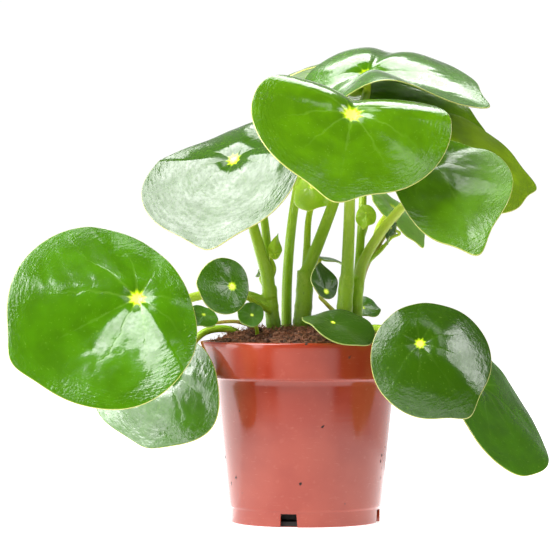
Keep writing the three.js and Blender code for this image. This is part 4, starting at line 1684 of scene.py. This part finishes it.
@dataclass
class Soil:
    """Peat heaped in the pot: a rough surface, loose crumbs, and fibres lying over it.

    Clods and grains each have a longest and a shortest wave, how many waves, a seed and a height.
    Side holds radius and height up the inside of the pot, from its floor.
    """

    radius: float = 57.2
    edge: float = 99.5
    crown: float = 109
    lump: float = 1.1
    clods: tuple[float, float, int, int, float] = (14, 3.5, 40, 5, 0.8)
    grains: tuple[float, float, int, int, float] = (3.5, 1.2, 60, 6, 0.35)
    sunk: float = 0.6
    gap: float = 0.35
    side: Sequence[tuple[float, float]] = (
        (36.5, 3.4), (38.0, 4.6), (38.6, 9), (49, 80), (50.2, 84.5), (56.6, 88)
    )
    bed_sides: int = 260
    bed_rings: int = 90
    crumbs: Crumbs = Crumbs()
    fibres: Fibres = Fibres()

    def height(self, x: Array, y: Array) -> Array:
        """The mound with its low lumps, as the solid has it.

        The mound falls with the fourth power of the share of the way to the edge. The lumps are two
        crossed sines and a slanting one, and ease off with its sixth power.

        Args:
            x: millimetres to the right of the pot's axis.
            y: millimetres behind it.
        Returns:
            The height at each point.
        """
        share = np.hypot(x, y) / self.radius
        mound = self.edge + (self.crown - self.edge) * (1 - share**4)
        lumps = np.sin(0.21 * x + 1.3) * np.cos(0.27 * y - 0.4) + 0.6 * np.sin(0.5 * x - 0.37 * y + 2.1)
        return mound + self.lump * lumps * (1 - share**6)

    def rough(self, x: Array, y: Array) -> Array:
        """The mound with clods and grains: waves from 14 to 1.2 mm long, eased off at the rim.

        Args:
            x: millimetres to the right of the pot's axis.
            y: millimetres behind it.
        Returns:
            The height at each point.
        """
        share = np.hypot(x, y) / self.radius
        plane = np.stack((x, y), -1)
        bumps = sum(plane_waves(plane, *waves) * rise for *waves, rise in (self.clods, self.grains))
        return self.height(x, y) + bumps * (1 - 0.5 * share**6) - self.sunk

    def bed(self) -> Piece:
        """The closed body of peat: the rough top, the side down the inside of the pot, and the bottom.

        Returns:
            The piece.
        """
        angle, every = even_turn(self.bed_sides), np.ones(self.bed_sides)
        steps = np.arange(self.bed_rings, 0, -1) / self.bed_rings
        radius = (steps * (self.radius - self.gap))[:, None] * every
        x, y = radius * np.cos(angle), radius * np.sin(angle)
        top = np.stack((x, y, self.rough(x, y)), -1)
        lower = turned(np.array(self.side), self.bed_sides)
        peak = float(self.rough(np.zeros(1), np.zeros(1))[0])
        bottom, middle = np.array((0, 0, self.side[0][1])), np.array((0, 0, peak))
        points, faces = closed_rings(np.concatenate((lower, top)), bottom, middle)
        return make_mesh("peat_bed", points, faces)

    def scatter(self, count: int, draw: np.random.Generator, reach: float) -> tuple[Array, Array, Array]:
        """Random places on the mound.

        Args:
            count: how many.
            draw: the random draws.
            reach: the furthest from the pot's axis.
        Returns:
            X, Y and the height of the rough surface there.
        """
        radius, angle = reach * np.sqrt(draw.random(count)), draw.uniform(0, TAU, count)
        x, y = radius * np.cos(angle), radius * np.sin(angle)
        return x, y, self.rough(x, y)

    def crumb_heap(self) -> Piece:
        """Loose crumbs: one round lump, copied with its own size, squash, dents and turn.

        A lump's rings lie at even angles from its pole. A copy is each of its points times a dent and
        a stretch, turned by a random rotation and set on the surface.

        Returns:
            The crumbs as one piece.
        """
        own, draw = self.crumbs, np.random.default_rng(self.crumbs.seed)
        tilt = np.pi * (np.arange(own.rows) + 0.75) / (own.rows + 0.5)
        lump = turned(np.stack((np.sin(tilt), np.cos(tilt)), -1), own.sides)
        shape, faces = closed_rings(lump[::-1], np.array((0, 0, -1.0)), np.array((0, 0, 1.0)))
        x, y, z = self.scatter(own.count, draw, self.radius - own.margin)
        size = draw.lognormal(*own.size, own.count).clip(*own.limits)
        stretch = draw.uniform(*own.stretch, (own.count, 1, 3)) * size[:, None, None]
        dents = 1 + draw.normal(0, own.dents, (own.count, len(shape), 1))
        turn = np.linalg.qr(draw.normal(size=(own.count, 3, 3)))[0]
        turn *= np.sign(np.linalg.det(turn))[:, None, None]
        points = np.einsum("nij,nkj->nki", turn, shape[None] * dents * stretch)
        points += np.stack((x, y, z + own.stand * size), -1)[:, None]
        piece = make_mesh("peat_crumbs", points.reshape(-1, 3), copied_faces(faces, own.count, len(shape)))
        piece.data.shade_flat()
        return piece

    def fibre_mat(self) -> Piece:
        """Peat fibres: threads on a bent line that lies on the surface and lifts at one end.

        The line's heading turns evenly along it, and its lift grows with the square of the way. The
        girth shrinks evenly from the middle to both ends.

        Returns:
            The fibres as one piece.
        """
        own, draw = self.fibres, np.random.default_rng(self.fibres.seed)
        x, y, _ = self.scatter(own.count, draw, self.radius - own.margin)
        heading, bend = draw.uniform(0, TAU, own.count), draw.normal(0, own.bend, own.count)
        length, thick = draw.uniform(*own.length, own.count), draw.uniform(*own.thick, own.count)
        rise = draw.uniform(*own.rise, own.count) * (draw.random(own.count) < own.lifted)
        way = np.linspace(-0.5, 0.5, own.steps)
        course = heading[:, None] + bend[:, None] * way
        px = x[:, None] + np.cumsum(np.cos(course), 1) * (length / own.steps)[:, None]
        py = y[:, None] + np.cumsum(np.sin(course), 1) * (length / own.steps)[:, None]
        inside = np.minimum(1, (self.radius - own.end_margin) / np.hypot(px, py))
        px, py = px * inside, py * inside
        pz = self.rough(px, py) + own.stand + rise[:, None] * (way + 0.5) ** 2
        path = np.stack((px, py, pz), -1)
        tangent = unit(np.gradient(path, axis=1))
        side = unit(np.cross(tangent, (0.0, 0.0, 1.0)))
        up = np.cross(side, tangent)
        angle = even_turn(own.sides)[None, None, :, None]
        full, lost = own.girth
        girth = (thick[:, None] * (full - np.abs(way) * lost))[..., None, None]
        rings = path[:, :, None] + girth * (side[:, :, None] * np.cos(angle) + up[:, :, None] * np.sin(angle))
        caps = np.stack((path[:, 0] - tangent[:, 0] * own.cap, path[:, -1] + tangent[:, -1] * own.cap), 1)
        points = np.concatenate((rings.reshape(own.count, -1, 3), caps), 1)
        _, faces = closed_rings(rings[0], caps[0, 0], caps[0, 1])
        groups = copied_faces(faces, own.count, points.shape[1])
        return make_mesh("peat_fibres", points.reshape(-1, 3), groups)

    def build(self) -> None:
        """Makes the bed, the crumbs and the fibres, and dresses them."""
        peat = PeatFinish("peat").make()
        straw = PeatFinish(
            "peat_fibre", dark=(0.045, 0.018, 0.010), warm=(0.32, 0.12, 0.055), straw=(0.62, 0.44, 0.28)
        ).make()
        bed, crumbs, fibres = self.bed(), self.crumb_heap(), self.fibre_mat()
        for piece, material, node in ((bed, peat, "soil"), (crumbs, peat, None), (fibres, straw, None)):
            piece.data.materials.append(material)
            settle(piece, node)


# ------------------------------------------------------------------------------ studio


@dataclass(frozen=True)
class Softbox:
    """A rectangular light: where it stands, how wide and tall it is, and how bright its face is."""

    name: str
    place: Point
    width: float
    tall: float
    glare: float


@dataclass
class Studio:
    """A white table under three softboxes and three bright cards, in a room with a bright back wall.

    The wall is bright where the direction from the plant runs back far enough. It is dimmer above
    wall_top, towards the right, and close to the zenith.
    """

    camera_at: Point = (-0.016, -1.5, 0.1393)
    focal: float = 170.58
    film: float = 36.0
    table_reach: float = 9000
    wall_back: tuple[float, float] = (-0.1, 0.3)
    wall_top: Ramp = (0.15, 0.35, 1.0, 0.25)
    wall_right: Ramp = (0.25, 0.5, 1.0, 0.3)
    zenith: Ramp = (0.8, 0.95, 1.0, 0.0)
    room_glow: float = 0.03
    target: Point = (0.0, 0.0, 0.15)
    boxes: tuple[Softbox, ...] = (
        Softbox("softbox_left", (-0.95, -0.41, 1.25), 1.6, 1.1, 11.0),
        Softbox("softbox_back", (0.0, 0.78, 1.33), 0.85, 0.68, 5.5),
        Softbox("softbox_top", (-0.22, 0.0, 1.75), 0.45, 0.45, 4.0),
        Softbox("card_left", (-1.3, -0.45, 0.5), 1.3, 0.9, 5.0),
        Softbox("card_right", (1.2, -0.6, 0.9), 0.8, 0.8, 8.0),
        Softbox("card_front", (0.5, -0.85, 1.3), 0.4, 0.5, 2.5),
    )

    def light(self, box: Softbox) -> None:
        """Adds one light, turned towards the plant. Its power is glare x pi x area.

        Args:
            box: the light.
        """
        lamp = bpy.data.lights.new(box.name, "AREA")
        lamp.shape, lamp.size, lamp.size_y = "RECTANGLE", box.width, box.tall
        lamp.energy = box.glare * np.pi * box.width * box.tall
        stand = bpy.data.objects.new(box.name, lamp)
        stand.location = box.place
        stand.rotation_euler = (Vector(self.target) - Vector(box.place)).to_track_quat("-Z", "Y").to_euler()
        bpy.context.scene.collection.objects.link(stand)

    def room(self) -> None:
        """A white room: the wall behind the plant is bright, and the rest is dim."""
        world = bpy.data.worlds.new("white_room")
        bpy.context.scene.world = world
        world.use_nodes = True
        tree = Tree(world.node_tree)
        seen = tree.add("LightPath").outputs["Is Camera Ray"]
        beside, back, up = tree.parts(tree.add("TexCoord").outputs["Generated"])
        low = tree.times(tree.span(up, *self.wall_top), tree.span(beside, *self.wall_right))
        wall = tree.times(tree.span(back, *self.wall_back), tree.times(low, tree.span(up, *self.zenith)))
        strength = tree.larger(seen, tree.plus(wall, self.room_glow))
        glow = tree.add("Background", (1.0, 1.0, 1.0), strength)
        tree.add("OutputWorld", glow.outputs[0])

    def build(self) -> None:
        """Sets up the table, the lights, the room and the camera."""
        corners = np.array([(-1.0, -1.0, 0.0), (1.0, -1.0, 0.0), (1.0, 1.0, 0.0), (-1.0, 1.0, 0.0)])
        table = make_mesh("table", corners * self.table_reach, [np.array([[0, 1, 2, 3]])])
        table.data.materials.append(FloorFinish().make())
        for box in self.boxes:
            self.light(box)
        self.room()
        camera = bpy.data.cameras.new("camera")
        camera.lens, camera.sensor_width = self.focal, self.film
        holder = bpy.data.objects.new("camera", camera)
        holder.location, holder.rotation_euler = self.camera_at, (np.pi / 2, 0, 0)
        bpy.context.scene.collection.objects.link(holder)
        bpy.context.scene.camera = holder
        bpy.context.scene.view_settings.view_transform = "Standard"


def main() -> None:
    """Builds the groups, the plant and the studio, in order."""
    logging.basicConfig(level=logging.INFO, format="%(name)s %(message)s")
    for group in (build_nerves, build_wrinkles, build_mottle, build_specks):
        group()
    Studio().build()
    Pot().build()
    Soil().build()
    foliage = Foliage()
    foliage.build()
    Stems().build({blade.name: blade for blade in foliage.blades})


if __name__ == "__main__":
    main()
